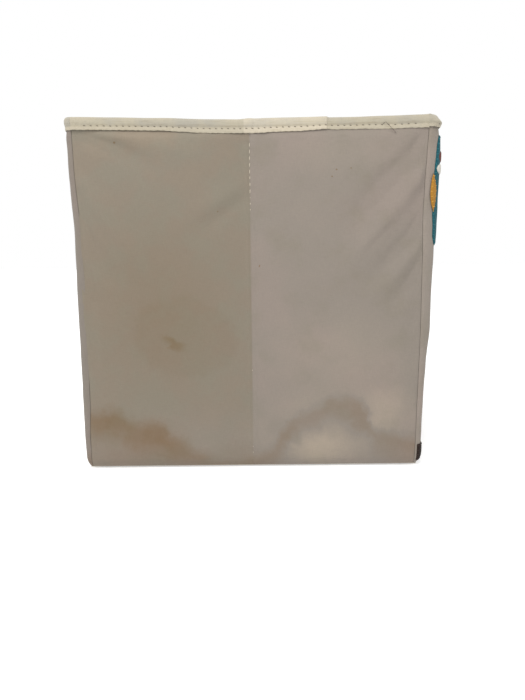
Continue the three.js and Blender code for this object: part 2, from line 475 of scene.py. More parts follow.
@dataclass(frozen=True)
class CanvasFinish:
    """Unbleached cotton canvas, with the marks of one wall.

    Args:
        name: name of the material.
        tide: upper edge of a water stain, as (share of the wall's width, height) points.
        spots: other marks.
        left_half_shade: painted shade: how much darker and yellower the cloth is painted on the left
            of its crease, the half that turns away from the light.
        grime: strength of the general greying.
        tone: painted light: how much lighter or darker the cloth is painted beside the others, for how
            the light falls on its wall.
        speck: marks with a smaller reach, in millimetres, have clean edges.
        blur: how far the edges of the others wander.
    """

    name: str
    tide: tuple[Point2, ...] = ()
    spots: tuple[Spot, ...] = ()
    left_half_shade: float = 0.0
    grime: float = 1.0
    tone: float = 1.0
    cloth: Colour = (0.186, 0.162, 0.138)
    rosy: Colour = (0.197, 0.166, 0.143)
    # Painted shade: yellow and olive tint the shaded left half of a crease; olive also gives the
    # random greying.
    yellow: Colour = (0.171, 0.143, 0.110)
    olive: Colour = (0.168, 0.149, 0.116)
    stain: Colour = (0.80, 0.655, 0.49)
    # Makes the cloth lighter where the marks add up to below 0.
    lighter_tint: Colour = (1.60, 1.54, 1.40)
    pitch: float = 0.75 * MM
    speck: float = 3.0
    blur: float = 22 * MM

    @staticmethod
    def _spot(across: Value, up: Value, spot: Spot) -> Value:
        """How much one mark covers each place.

        Args:
            across: place along the wall.
            up: height.
            spot: the mark.

        Returns:
            The mark's strength there.
        """
        turn = math.radians(spot.turn)
        x = across - spot.along * MM
        y = up - spot.up * MM
        length = (x * math.cos(turn) + y * math.sin(turn)) / (spot.reach * MM)
        width = (y * math.cos(turn) - x * math.sin(turn)) / (spot.breadth * MM)
        distance = (length * length + width * width) ** 0.5
        return distance.ease(1.0, 1.0 - spot.soft) * spot.shade

    def _tide_mark(self, shader: Shader, across: Value, up: Value) -> Value:
        """The water stain that has climbed from the floor, darkest just under its edge.

        Args:
            shader: the material being built.
            across: place along the wall.
            up: height.

        Returns:
            The stain's strength there.
        """
        share = (across + SIZES.half) / (2.0 * SIZES.half)
        edge = shader.curve(share, [(x, y * 10.0) for x, y in self.tide]) / 10.0
        depth = edge - up
        inside = depth.ease(-6 * MM, 12 * MM)
        band = depth.ease(42 * MM, 8 * MM)
        return inside * (band * 0.44 + 0.16)

    def build(self) -> bpy.types.Material:
        """Builds the material.

        Returns:
            The material.
        """
        shader = Shader(self.name)
        height, thread = weave(shader, self.pitch, 0.05 * MM)
        uv, across, up = shader.flat()
        broad = shader.noise(uv, 9.0, 3.0)
        patch = shader.noise(uv, 26.0, 4.0, 0.6)
        fine = shader.noise(uv, 420.0, 3.0, 0.7)
        marks = shader.noise(uv, 60.0, 5.0, 0.62)
        blur_x = across + (marks - 0.5) * self.blur
        blur_y = up + (shader.noise(uv, 55.0, 5.0, 0.62) - 0.5) * self.blur
        # Painted light: each wall's cloth is painted lighter or darker by its tone, for how the light
        # falls on that wall.
        cloth, rosy = (tuple(self.tone * c for c in base) for base in (self.cloth, self.rosy))
        colour = shader.mix(cloth, rosy, broad.ease(0.42, 0.62))
        # Painted shade: the left half of a side wall's crease turns away from the light, so it is
        # painted darker and yellower, less so near the floor.
        high = up.ease(10 * MM, 75 * MM) * 0.6 + 0.4
        left = across.ease(0.7 * MM, -0.7 * MM) * high * self.left_half_shade
        side = shader.mix(self.yellow, self.olive, patch.ease(0.4, 0.62))
        colour = shader.mix(colour, side, left)
        colour = shader.mix(colour, self.olive, patch.ease(0.48, 0.7) * (0.4 * self.grime))
        total = (patch - 0.5) * (0.2 * self.grime)
        for spot in self.spots:
            place = (across, up) if spot.reach < self.speck else (blur_x, blur_y)
            total = total + self._spot(*place, spot)
        if self.tide:
            total = total + self._tide_mark(shader, blur_x, blur_y)
        total = total * (0.62 + marks * 0.4 + shader.noise(uv, 34.0, 3.0, 0.6) * 0.36)
        colour = shader.mix(colour, self.stain, total.most(0.0).least(1.0), "MULTIPLY")
        # Where the marks add up to below 0, the cloth is painted lighter.
        lightened = (0.0 - total).most(0.0).least(1.0)
        colour = shader.mix(colour, self.lighter_tint, lightened, "MULTIPLY")
        # Painted shade: darker in the gaps between threads, lighter on their crowns; the slubs and
        # fine noise are the yarn's own tone.
        lift = shader.mix((0.86, 0.86, 0.86), (1.1, 1.1, 1.1), thread * 0.55 + fine * 0.45)
        colour = shader.mix(colour, lift, 1.0, "MULTIPLY")
        shader.bump(height)
        return shader.finish(colour, 0.92, sheen=0.1)


@dataclass(frozen=True)
class ClothFinish:
    """The plain cloth of the lining and the insert's cover."""

    name: str = "lining"
    colour: Colour = (0.38, 0.342, 0.272)
    shade: Colour = (0.33, 0.30, 0.243)
    pitch: float = 0.6 * MM
    depth: float = 0.05 * MM
    mottle: float = 0.5

    def build(self) -> bpy.types.Material:
        """Builds the material.

        Returns:
            The material.
        """
        shader = Shader(self.name)
        height, thread = weave(shader, self.pitch, self.depth)
        uv, _, _ = shader.flat()
        patch = shader.noise(uv, 35.0, 4.0, 0.6)
        fine = shader.noise(uv, 500.0, 2.0, 0.7)
        colour = shader.mix(self.colour, self.shade, patch.ease(0.4, 0.7) * self.mottle)
        # Painted shade: darker in the gaps between threads, lighter on their crowns; the slubs and
        # fine noise are the yarn's own tone.
        lift = shader.mix((0.85, 0.85, 0.85), (1.08, 1.08, 1.08), thread * 0.6 + fine * 0.4)
        colour = shader.mix(colour, lift, 1.0, "MULTIPLY")
        shader.bump(height)
        return shader.finish(colour, 0.9, sheen=0.2)


@dataclass(frozen=True)
class TapeFinish:
    """The binding tape, soiled along its row of stitches.

    Args:
        name: name of the material.
        row: height of the stitch row.
        fresh: the stretch of the rim, from and to, where the tape is a cleaner piece.
    """

    name: str
    row: float
    fresh: Optional[Point2] = None
    colour: Colour = (0.318, 0.288, 0.222)
    shade: Colour = (0.278, 0.260, 0.216)
    lip: Colour = (0.345, 0.308, 0.236)
    soil: Colour = (0.70, 0.64, 0.55)

    def build(self) -> bpy.types.Material:
        """Builds the material.

        Returns:
            The material.
        """
        shader = Shader(self.name)
        height, thread = weave(shader, 0.5 * MM, 0.035 * MM)
        uv, across, up = shader.flat()
        patch = shader.noise(uv, 30.0, 4.0, 0.6)
        colour = shader.mix(self.colour, self.shade, patch.ease(0.4, 0.65))
        below = (self.row - up).ease(0.4 * MM, 1.4 * MM)
        colour = shader.mix(colour, self.lip, below * 0.8)
        if self.fresh is not None:
            start, end = self.fresh
            fresh = across.ease(start - 1 * MM, start + 1 * MM) * across.ease(end + 0.4 * MM, end)
            colour = shader.mix(colour, (1.2, 1.19, 1.2), fresh, "MULTIPLY")
        streak = shader.noise(shader.stretch(uv, (60.0, 700.0, 1.0)), 1.0, 3.0)
        near_row = (up - self.row).size().ease(1.6 * MM, 0.3 * MM)
        soil = near_row * 0.2 + streak.ease(0.52, 0.7) * 0.3
        colour = shader.mix(colour, self.soil, soil, "MULTIPLY")
        # Painted shade: darker in the gaps between threads, lighter on their crowns; the slubs are the
        # yarn's own tone.
        lift = shader.mix((0.9, 0.9, 0.9), (1.06, 1.06, 1.06), thread)
        colour = shader.mix(colour, lift, 1.0, "MULTIPLY")
        shader.bump(height)
        return shader.finish(colour, 0.88, sheen=0.15)


@dataclass(frozen=True)
class FeltFinish:
    """Pressed wool felt: matted fibres in one colour."""

    name: str
    colour: Colour
    light: Colour

    def build(self) -> bpy.types.Material:
        """Builds the material.

        Returns:
            The material.
        """
        shader = Shader(self.name)
        place = shader.node("ShaderNodeTexCoord").outputs["Object"]
        fibre = shader.noise(shader.stretch(place, (1.0, 1.0, 2.6)), 900.0, 4.0, 0.7)
        fibre_across = shader.noise(shader.stretch(place, (2.8, 1.0, 1.0)), 800.0, 4.0, 0.7)
        clump = shader.noise(place, 110.0, 3.0, 0.6)
        hairs = fibre * 0.5 + fibre_across * 0.5
        colour = shader.mix(self.colour, self.light, hairs.ease(0.42, 0.68))
        tone = shader.mix((0.82, 0.82, 0.82), (1.12, 1.12, 1.12), clump)
        colour = shader.mix(colour, tone, 1.0, "MULTIPLY")
        shader.bump((hairs - 0.5) * (0.45 * MM) + (clump - 0.5) * (0.5 * MM))
        return shader.finish(colour, 0.95, sheen=0.08)


@dataclass(frozen=True)
class BoardFinish:
    """Grey-brown millboard with flecks of fibre."""

    name: str = "millboard"

    def build(self) -> bpy.types.Material:
        """Builds the material.

        Returns:
            The material.
        """
        shader = Shader(self.name)
        place = shader.node("ShaderNodeTexCoord").outputs["Object"]
        fleck = shader.noise(place, 700.0, 3.0, 0.7)
        patch = shader.noise(place, 30.0, 3.0)
        colour = shader.mix((0.36, 0.29, 0.2), (0.46, 0.38, 0.27), patch)
        colour = shader.mix(colour, (0.22, 0.17, 0.11), fleck.ease(0.58, 0.7) * 0.5)
        shader.bump(fleck * (0.05 * MM))
        return shader.finish(colour, 0.85)


@dataclass(frozen=True)
class ThreadFinish:
    """Twisted cotton sewing thread."""

    name: str
    colour: Colour

    def build(self) -> bpy.types.Material:
        """Builds the material.

        Returns:
            The material.
        """
        shader = Shader(self.name)
        place = shader.node("ShaderNodeTexCoord").outputs["Object"]
        twist = shader.noise(place, 2500.0, 1.0)
        dark = tuple(0.78 * part for part in self.colour)
        shader.bump(twist * (0.05 * MM))
        return shader.finish(shader.mix(dark, self.colour, twist), 0.7, sheen=0.1)


class Finishes:
    """The materials that several parts share."""

    THREADS = {
        "canvas": (0.46, 0.41, 0.33),
        "row": (0.13, 0.107, 0.08),
        "tape": (0.60, 0.55, 0.44),
        "dark": (0.05, 0.035, 0.03),
    }

    def __init__(self) -> None:
        """Builds them."""
        self.thread = {
            use: ThreadFinish(f"{use}_thread", colour).build()
            for use, colour in self.THREADS.items()
        }
        self.lining = ClothFinish().build()
        self.board = BoardFinish().build()
        self.canvas = CanvasFinish("canvas_plain", grime=1.2).build()


# ---------------------------------------------------------------------------------------------
# Meshes
# ---------------------------------------------------------------------------------------------

SOFT_CREASE = 40.0
ROUND_CREASE = 180.0


def smooth(mesh: bpy.types.Mesh, crease: float) -> None:
    """Shades a mesh smooth, except at edges that bend by more than `crease` degrees."""
    for polygon in mesh.polygons:
        polygon.use_smooth = True
    mesh.set_sharp_from_angle(angle=math.radians(crease))


def as_object(
    bm: bmesh.types.BMesh, name: str, crease: float = SOFT_CREASE
) -> bpy.types.Object:
    """Turns a bmesh into a smooth-shaded object in the scene.

    Args:
        bm: the mesh, which is freed.
        name: the object's name.
        crease: edges that bend by more than this many degrees stay sharp.

    Returns:
        The object.
    """
    mesh = bpy.data.meshes.new(name)
    bm.to_mesh(mesh)
    bm.free()
    smooth(mesh, crease)
    made = bpy.data.objects.new(name, mesh)
    bpy.context.scene.collection.objects.link(made)
    return made


def thicken(
    made: bpy.types.Object, thick: float, crease: float = SOFT_CREASE
) -> bpy.types.Object:
    """Gives a cloth its thickness, inwards from the faces that it has.

    Args:
        made: the cloth's outer face.
        thick: the thickness.
        crease: edges that bend by more than this many degrees stay sharp.

    Returns:
        The same object.
    """
    shell = made.modifiers.new("thickness", "SOLIDIFY")
    shell.thickness = thick
    shell.offset = -1.0
    graph = bpy.context.evaluated_depsgraph_get()
    mesh = bpy.data.meshes.new_from_object(made.evaluated_get(graph))
    made.modifiers.clear()
    made.data = mesh
    mesh.name = made.name
    smooth(mesh, crease)
    return made


def cloth(
    name: str,
    across: Sequence[float],
    up: Sequence[float],
    place: Callable[[float, float], Vector],
    outward: Vector,
    thick: float,
) -> bpy.types.Object:
    """A cloth of real thickness over a grid of its own flat measure.

    Args:
        name: the object's name.
        across: grid lines to the right.
        up: grid lines upwards.
        place: gives the point of the cloth's outer face for (across, up).
        outward: roughly the way the outer face looks.
        thick: the cloth's thickness, which goes inwards.

    Returns:
        The object, with its flat measure in a UV map.
    """
    bm = bmesh.new()
    columns, rows = len(across) - 1, len(up) - 1
    bmesh.ops.create_grid(bm, x_segments=columns, y_segments=rows, size=1.0)
    uv = bm.loops.layers.uv.new(UV_NAME)
    flat = {}
    for vert in bm.verts:
        i = round((vert.co.x + 1.0) / 2.0 * columns)
        j = round((vert.co.y + 1.0) / 2.0 * rows)
        flat[vert.index] = (across[i], up[j])
        vert.co = place(across[i], up[j])
    for face in bm.faces:
        for loop in face.loops:
            loop[uv].uv = flat[loop.vert.index]
    bm.normal_update()
    if sum((face.normal.dot(outward) for face in bm.faces), 0.0) < 0.0:
        bmesh.ops.reverse_faces(bm, faces=bm.faces[:])
    return thicken(as_object(bm, name), thick)


@dataclass
class StitchRun:
    """A row of stitches, gathered one by one and made as one mesh.

    Args:
        length: length of a stitch.
        radius: radius of the thread.
        places: where each stitch gathered so far lies.
    """

    length: float
    radius: float
    places: list[Matrix] = field(default_factory=list)

    def add(self, at: Vector, way: Vector, lift: Vector) -> None:
        """Adds one stitch at a point, lying along `way` on a face that looks along `lift`.

        Args:
            at: its middle.
            way: the way the thread runs.
            lift: the way out of the cloth.
        """
        forward = way.normalized()
        side = lift.cross(forward).normalized()
        normal = forward.cross(side)
        turn = Matrix((forward, side, normal)).transposed().to_4x4()
        size = Matrix.Diagonal((self.length / 2.0, self.radius, self.radius * 0.8, 1.0))
        self.places.append(Matrix.Translation(at) @ turn @ size)

    def build(self, name: str) -> bpy.types.Object:
        """Makes the mesh of all the stitches."""
        bm = bmesh.new()
        for place in self.places:
            bmesh.ops.create_icosphere(bm, subdivisions=1, radius=1.0, matrix=place)
        return as_object(bm, name, ROUND_CREASE)


def dress(
    made: bpy.types.Object, material: bpy.types.Material, slot: str, *replaced: str
) -> bpy.types.Object:
    """Gives a piece its material and hides the CAD nodes it stands for.

    Args:
        made: the piece.
        material: its finish.
        slot: its finish slot; not used.
        replaced: names of the nodes.

    Returns:
        The same piece.
    """
    made.data.materials.clear()
    made.data.materials.append(material)
    if replaced:
        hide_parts(*replaced)
    log.info("%s: %d faces", made.name, len(made.data.polygons))
    return made


# ---------------------------------------------------------------------------------------------
# Walls
# ---------------------------------------------------------------------------------------------

class Facing(Enum):
    """Which way a wall looks, as its turn about Z from the front wall."""

    FRONT = 0.0
    RIGHT = 90.0
    BACK = 180.0
    LEFT = -90.0


@dataclass(frozen=True)
class Fold:
    """A soft ridge in a cloth, from one place to another in its flat measure, in millimetres.

    Args:
        start: (along, up) place of its firmer end.
        end: place of its softer end.
        width: half its width.
        height: height of the ridge, below 0 for a valley.
    """

    start: Point2
    end: Point2
    width: float
    height: float

    def at(self, along: float, up: float) -> float:
        """Height of the ridge, in metres, at a place that is also in metres.

        Args:
            along: place along the wall.
            up: height.

        Returns:
            Its height there.
        """
        dx, dz = self.end[0] - self.start[0], self.end[1] - self.start[1]
        length = math.hypot(dx, dz)
        x, z = along / MM - self.start[0], up / MM - self.start[1]
        run = (x * dx + z * dz) / (length * length)
        off = (z * dx - x * dz) / length
        fade = ease(-0.25, 0.1, run) * ease(1.35, 0.55, run)
        width = self.width * (0.7 + 0.6 * min(1.0, max(0.0, run)))
        return self.height * MM * fade * hump(off, width)


@dataclass(frozen=True)
class CornerShape:
    """How an upright edge of the bin strays from true, in millimetres.

    Args:
        seam: how far the seam stands out along the side wall, as (height, distance) points.
        edge: how far the end wall's face stands out beside it.
        full: how much fuller the tape is where it turns the corner.
        drop: how much lower it is there.
    """

    seam: tuple[Point2, ...]
    edge: tuple[Point2, ...]
    full: float = 1.2
    drop: float = 1.2

    def seam_at(self, up: float) -> float:
        """How far the seam stands out at a height."""
        return profile(self.seam, up / MM) * MM

    def edge_at(self, up: float) -> float:
        """How far the end wall stands out at a height."""
        return profile(self.edge, up / MM) * MM


@dataclass(frozen=True)
class Binding:
    """The tape over a rim, in its section."""

    pitch: float = 5.5 * MM
    row: float = 7.4 * MM
    row_out: float = 1.17 * MM
    height: float = 10.9 * MM
    thick: float = 0.6 * MM

    def section(self) -> list[Point2]:
        """The tape's outer face, from the outer lip over the rim to the inner lip.

        Returns:
            (distance out from the canvas face, height below the rim) pairs, close together.
        """
        inside = SIZES.lining_face
        row_out = self.row_out / MM
        outline = [
            (0.4, -10.85), (0.75, -10.9), (1.05, -10.7), (1.18, -10.1), (1.22, -8.9),
            (row_out + 0.04, -7.9), (row_out, -7.4), (row_out + 0.08, -6.9), (1.5, -6.1),
            (1.75, -5.0), (1.85, -3.6), (1.75, -2.2), (1.3, -0.9), (0.5, -0.15), (-0.8, 0.0),
        ]
        outer = [(x * MM, z * MM) for x, z in outline]
        inner = [(-inside - x, z) for x, z in reversed(outer)]
        return outer + [(-inside / 2.0, 0.05 * MM)] + inner


BINDING = Binding()


@dataclass
class Wall:
    """One side of the bin: canvas, board, lining, binding and stitches.

    Args:
        name: name that its pieces start with.
        facing: which way it looks.
        rides: the body that carries it, or the two on either side of its crease, the one
            on its right (seen from outside) first.
        canvas: finish of its canvas.
        ends: shapes of the bin's edges at its left and right, seen from outside.
        folds: soft ridges and valleys in its canvas.
        slack: how far its canvas stands off the board.
        seed: changes its small rumples.
        rim: how far the rim stands above its level, in mm, as (place along, height) points.
        lip: how far the tape's lower edge does.
        joint_at: place of the tape's overlapped end along the rim, if it is on this wall.
        fresh: the stretch of the rim, from and to, where the tape is a cleaner piece.
    """

    CREASE_STRIP = 0.6 * MM  # half the plain strip at the crease
    BOARD_DEPTH = 1.1 * MM
    BOARD_THICK = 2.0 * MM
    LINING_THICK = 0.6 * MM
    UNDER_TAPE = 5 * MM  # from the rim down to the cloths' upper edges, inside the tape
    CREASE_PITCH = 5.8 * MM

    name: str
    facing: Facing
    rides: tuple[str, ...]
    canvas: CanvasFinish
    ends: tuple[CornerShape, CornerShape]
    folds: tuple[Fold, ...] = ()
    slack: float = 1.0 * MM
    seed: float = 0.0
    rim: tuple[Point2, ...] = ((-165, -1.2), (-60, -2.2), (0, -1.6), (80, -2.4), (165, -1.0))
    lip: tuple[Point2, ...] = ((-165, -1.2), (0, -2.6), (165, -1.4))
    joint_at: Optional[float] = None
    fresh: Optional[Point2] = None

    @property
    def creased(self) -> bool:
        """Whether it is a side wall with a crease."""
        return len(self.rides) == 2

    @property
    def reach(self) -> float:
        """Half the length of its canvas, round the edges to the corner seams."""
        if self.creased:
            return SIZES.seam
        return SIZES.half - SIZES.round_edge + SIZES.round_edge * math.pi / 2.0

    @property
    def tape_reach(self) -> float:
        """Half the length of its tape, which on an end wall laps over the side wall's."""
        return self.reach + (0.0 if self.creased else 0.6 * MM)

    @property
    def turn(self) -> Matrix:
        """Turns the front wall's frame to this wall's."""
        return Matrix.Rotation(math.radians(self.facing.value), 4, "Z")

    @property
    def outward(self) -> Vector:
        """The way its outer face looks."""
        return (self.turn @ Vector((0.0, -1.0, 0.0))).to_3d()

    def plan(self, along: float, up: float, square: bool = False) -> tuple[Vector, Vector]:
        """The canvas line in plan, drawn as the front wall.

        Args:
            along: place along the wall.
            up: height.
            square: whether an end wall runs straight on instead of round its edge.

        Returns:
            The point and the outward direction there.
        """
        corner = self.ends[1 if along > 0.0 else 0]
        share = min(1.0, abs(along) / self.reach)
        if self.creased:
            stray = corner.seam_at(up) * share ** 6
            y = -SIZES.half + SIZES.bow_at(along, up)
            return Vector((along + math.copysign(stray, along), y, up)), Vector((0.0, -1.0, 0.0))
        straight = SIZES.half - SIZES.round_edge
        if square or abs(along) <= straight:
            point = Vector((along, -SIZES.half, up))
            normal = Vector((0.0, -1.0, 0.0))
        else:
            side = math.copysign(1.0, along)
            angle = (abs(along) - straight) / SIZES.round_edge
            normal = Vector((side * math.sin(angle), -math.cos(angle), 0.0))
            point = Vector((side * straight, -straight, up)) + normal * SIZES.round_edge
        turned = abs(normal.x) ** 1.5
        stray = corner.edge_at(up) * (1.0 - turned) + corner.seam_at(up) * turned
        point.y -= self._edge_share(share) * stray
        return point, normal

    def _edge_share(self, share: float) -> float:
        """How much an end wall follows its edge's stray, at a share of the way out to it."""
        if self.facing is Facing.BACK:
            return ease(0.88, 0.98, share)
        return 0.25 + 0.75 * ease(0.3, 0.95, share)

    def place(self, along: float, up: float, out: float, square: bool = False) -> Vector:
        """The point `out` in front of the canvas line, in the row frame."""
        point, normal = self.plan(along, up, square)
        return (self.turn @ (point + normal * (out - SIZES.tuck_at(up)))).to_3d()

    def relief(self, along: float, up: float) -> float:
        """How far the canvas stands off its true face.

        Args:
            along: place along the wall.
            up: height.

        Returns:
            The distance outwards.
        """
        edge = self.reach - abs(along)
        under_tape = ease(SIZES.top - 11 * MM, SIZES.top - 20 * MM, up)
        slack = self.slack + 0.8 * MM * rumple(along, up, 80 * MM, self.seed)
        slack += 0.3 * MM * rumple(along, up, 24 * MM, self.seed + 5.0)
        total = slack * ease(0.0, 18 * MM, edge) * ease(0.0, 22 * MM, up)
        for fold in self.folds:
            total += fold.at(along, up) * ease(0.0, 5 * MM, edge)
        total *= under_tape
        if self.creased:
            total *= ease(0.0, 34 * MM, abs(along)) * 0.6 + 0.4
            total += 0.35 * MM * hump(abs(along) - 2.4 * MM, 1.5 * MM)
            total -= 0.25 * MM * hump(along - 0.5 * MM, 0.8 * MM)
            total += 0.2 * MM * math.sin(up / self.CREASE_PITCH * 2.0 * math.pi) * hump(along, 4 * MM)
        total += self._rim_puckers(along, up) + self._seam_puckers(along, up)
        total -= 0.5 * MM * ease(1.9 * MM, 0.0, edge)
        return max(total, -0.25 * MM if edge > 3 * MM else -0.55 * MM)

    def _rim_puckers(self, along: float, up: float) -> float:
        """Small gathers where the canvas goes under the tape."""
        below = SIZES.top - BINDING.height - 1 * MM - up
        wave = rumple(along, 0.0, 9 * MM, self.seed + 11.0)
        return 0.45 * MM * wave * ease(22 * MM, 3 * MM, below) * ease(0.0, 3 * MM, below)

    def _seam_puckers(self, along: float, up: float) -> float:
        """Small gathers beside the corner seams."""
        edge = self.reach - abs(along)
        wave = rumple(up, math.copysign(3.0, along), 11 * MM, self.seed + 17.0)
        return 0.45 * MM * wave * ease(14 * MM, 3 * MM, edge) * ease(0.0, 2.5 * MM, edge)

    def _columns(self, half: float, near: float, fine: float, wide: float) -> list[float]:
        """Stations along the wall, close together at its ends and on both sides of its crease.

        Args:
            half: half the length.
            near: width of each strip of close stations.
            fine: their spacing.
            wide: spacing between the strips.

        Returns:
            The stations.
        """
        fold = self.CREASE_STRIP
        return stations(
            [(-half, fine), (near - half, wide), (-near, fine), (-fold, 2.0 * fold), (fold, fine),
             (near, wide), (half - near, fine), (half, 0.0)]
        )

    def _attach(self, made: bpy.types.Object) -> None:
        """Makes a piece ride on the wall's body; on a creased wall the piece stays where it is built.

        Args:
            made: the piece.
        """
        if not self.creased:
            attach(made, self.rides[0])
            return
        start = self.place(0.5 * self.CREASE_STRIP, SIZES.top / 2.0, 0.0)
        end = self.place(-0.5 * self.CREASE_STRIP, SIZES.top / 2.0, 0.0)
        end.x = start.x
        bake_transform(made)

    def _replaced(self, layer: str) -> list[str]:
        """Names of the CAD nodes of one layer of the wall."""
        if self.creased:
            return [f"{body}_{layer}" for body in self.rides]
        return [f"{self.name}_{layer}"]

    def build_canvas(self) -> None:
        """The outer canvas, from under the tape to the bottom seam."""
        half, wide = self.reach, 2.6 * MM
        columns = self._columns(half, 14 * MM, 1.2 * MM, wide)
        rows = stations(
            [(1.6 * MM, 0.8 * MM), (16 * MM, wide), (300 * MM, 1.6 * MM),
             (SIZES.top - self.UNDER_TAPE, 0.0)]
        )
        def point(along: float, up: float) -> Vector:
            """A point of the canvas's outer face."""
            return self.place(along, up, self.relief(along, up))
        made = cloth(f"{self.name}_canvas_cloth", columns, rows, point, self.outward, SIZES.canvas)
        dress(made, self.canvas.build(), "canvas", *self._replaced("canvas"))
        boards = [f"{node}_sheet" for node in self._replaced("board")]
        self._attach(made)

    def build_boards(self, material: bpy.types.Material) -> None:
        """The stiffener boards in the pocket between the two cloths.

        Args:
            material: their finish.
        """
        for node, body in zip(self._replaced("board"), self.rides):
            low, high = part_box(node)
            turned = self.turn.inverted()
            ends = sorted(((turned @ low).x, (turned @ high).x))
            columns = stations([(ends[0], 6 * MM), (ends[1], 0.0)])
            rows = stations([(low.z, 6 * MM), (high.z, 0.0)])
            def point(along: float, up: float) -> Vector:
                """A point of the board's outer face."""
                return self.place(along, up, -self.BOARD_DEPTH, square=True)
            made = cloth(f"{node}_sheet", columns, rows, point, self.outward, self.BOARD_THICK)
            dress(made, material, "board", node)
            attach(made, body)

    def build_lining(self, material: bpy.types.Material) -> None:
        """The lining, on the inside of the boards.

        Args:
            material: its finish.
        """
        half = SIZES.seam if self.creased else SIZES.half - SIZES.lining_face
        columns = self._columns(half, 12 * MM, 1.6 * MM, 4 * MM)
        rows = stations([(SIZES.foot, 3.0 * MM), (SIZES.top - self.UNDER_TAPE, 0.0)])
        def point(along: float, up: float) -> Vector:
            """A point of the lining's inner face, which stands off into the bin.

            Args:
                along: place along the wall.
                up: height.

            Returns:
                The point.
            """
            slack = 0.55 + 0.5 * rumple(along, up, 60 * MM, self.seed + 31.0)
            slack += 0.22 * rumple(along, up, 16 * MM, self.seed + 37.0)
            off = 1.3 * MM * slack * ease(0.0, 12 * MM, half - abs(along))
            off *= ease(0.0, 14 * MM, up - SIZES.foot) * ease(0.0, 16 * MM, SIZES.top - up)
            off += 0.35 * MM * hump(half - 5 * MM - abs(along), 1.2 * MM)
            if self.creased:
                off *= ease(0.0, 7 * MM, abs(along))
            return self.place(along, up, -SIZES.lining_face - max(0.0, off), square=True)
        name = f"{self.name}_lining_cloth"
        made = cloth(name, columns, rows, point, -self.outward, self.LINING_THICK)
        dress(made, material, "lining", *self._replaced("lining"))
        boards = [f"{node}_sheet" for node in self._replaced("board")]
        self._attach(made)
        if self.facing is Facing.BACK:
            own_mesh(made)

    def tape_at(self, along: float, out: float, drop: float) -> Vector:
        """A point of the tape's outer face, with its stitch dimples and rumples.

        Args:
            along: place along the rim.
            out: distance out from the canvas face in the tape's plain section.
            drop: height in that section, from 0 at the rim down.

        Returns:
            The point.
        """
        outside = out > -SIZES.lining_face / 2.0
        face = max(0.0, 1.0 - abs(drop + 5 * MM) / (6.5 * MM))
        swell = 0.35 * MM * rumple(along, drop, 24 * MM, self.seed + 3.0)
        swell += 0.16 * MM * rumple(along, drop * 2.0, 7 * MM, self.seed + 4.0)
        phase = 2.0 * math.pi * along / BINDING.pitch
        dimple = (0.5 - 0.5 * math.cos(phase)) ** 2
        total = swell * face
        total -= 0.42 * MM * dimple * hump(drop + BINDING.row, 1.0 * MM)
        total += 0.12 * MM * math.cos(phase) * hump(drop + 9.9 * MM, 1.2 * MM)
        corner = self.ends[1 if along > 0.0 else 0]
        turned = 0.0
        if self.creased:
            total += 0.8 * MM * hump(along + 1 * MM, 5 * MM) * face
            total -= 0.7 * MM * hump(along - 4.2 * MM, 0.8 * MM) * face
        else:
            edge = self.reach - abs(along)
            turned = ease(30 * MM, 12 * MM, edge) * ease(0.0, 6 * MM, edge)
            total += corner.full * MM * turned * hump(drop + 6 * MM, 4 * MM) * float(outside)
        if self.joint_at is not None and outside:
            total += 0.6 * MM * ease(self.joint_at + 0.4 * MM, self.joint_at - 0.4 * MM, along)
            total -= 0.35 * MM * hump(along - self.joint_at - 0.6 * MM, 0.5 * MM)
        share = -drop / BINDING.height
        rise = profile(self.rim, along / MM) * (1.0 - share) + profile(self.lip, along / MM) * share
        rise += 0.3 * rumple(along, 0.0, 30 * MM, self.seed + 21.0)
        if self.creased:
            rise += 0.9 * hump(along + 1 * MM, 6 * MM) * (1.0 - share)
        rise -= corner.drop * turned * (1.0 - share) * ease(-2 * MM, 1.5 * MM, out)
        wave = 0.3 * rumple(along, 0.0, 9 * MM, self.seed + 8.0) + 0.1 * math.cos(phase)
        rise += wave * ease(-8.5 * MM, -10.5 * MM, drop)
        up = SIZES.top + drop + rise * MM
        return self.place(along, up, out + (total if outside else -total))

    def build_binding(self, material: bpy.types.Material) -> None:
        """The tape folded over the rim, and the stitches of its row.

        Args:
            material: the tape's finish.
        """
        section = measured(BINDING.section())
        columns = self._columns(self.tape_reach, 10 * MM, 0.8 * MM, 0.8 * MM)
        def point(along: float, place: float) -> Vector:
            """A point of the tape's outer face."""
            return self.tape_at(along, *section[place])
        upward = Vector((0.0, 0.0, 1.0))
        name = f"{self.name}_binding_tape"
        made = cloth(name, columns, list(section), point, upward, BINDING.thick)
        uv = made.data.uv_layers[UV_NAME].data
        for loop in made.data.loops:
            uv[loop.index].uv.y = made.data.vertices[loop.vertex_index].co.z
        dress(made, material, "binding", *self._replaced("binding"))
        self._attach(made)

    def build_binding_stitches(self, thread: bpy.types.Material) -> None:
        """Threads that show in the tape's row, outside and inside.

        Args:
            thread: their finish.
        """
        reach = self.tape_reach
        run = StitchRun(length=3.2 * MM, radius=0.45 * MM)
        count = int((reach - 3 * MM) / BINDING.pitch)
        for i in range(-count, count):
            along = (i + 0.5) * BINDING.pitch
            for face in (BINDING.row_out, -SIZES.lining_face - BINDING.row_out):
                at = self.tape_at(along, face, -BINDING.row)
                ahead = self.tape_at(along + 1 * MM, face, -BINDING.row - 0.25 * MM)
                run.add(at, ahead - at, self.outward * math.copysign(1.0, face))
        made = run.build(f"{self.name}_binding_stitches")
        dress(made, thread, "thread")
        self._attach(made)

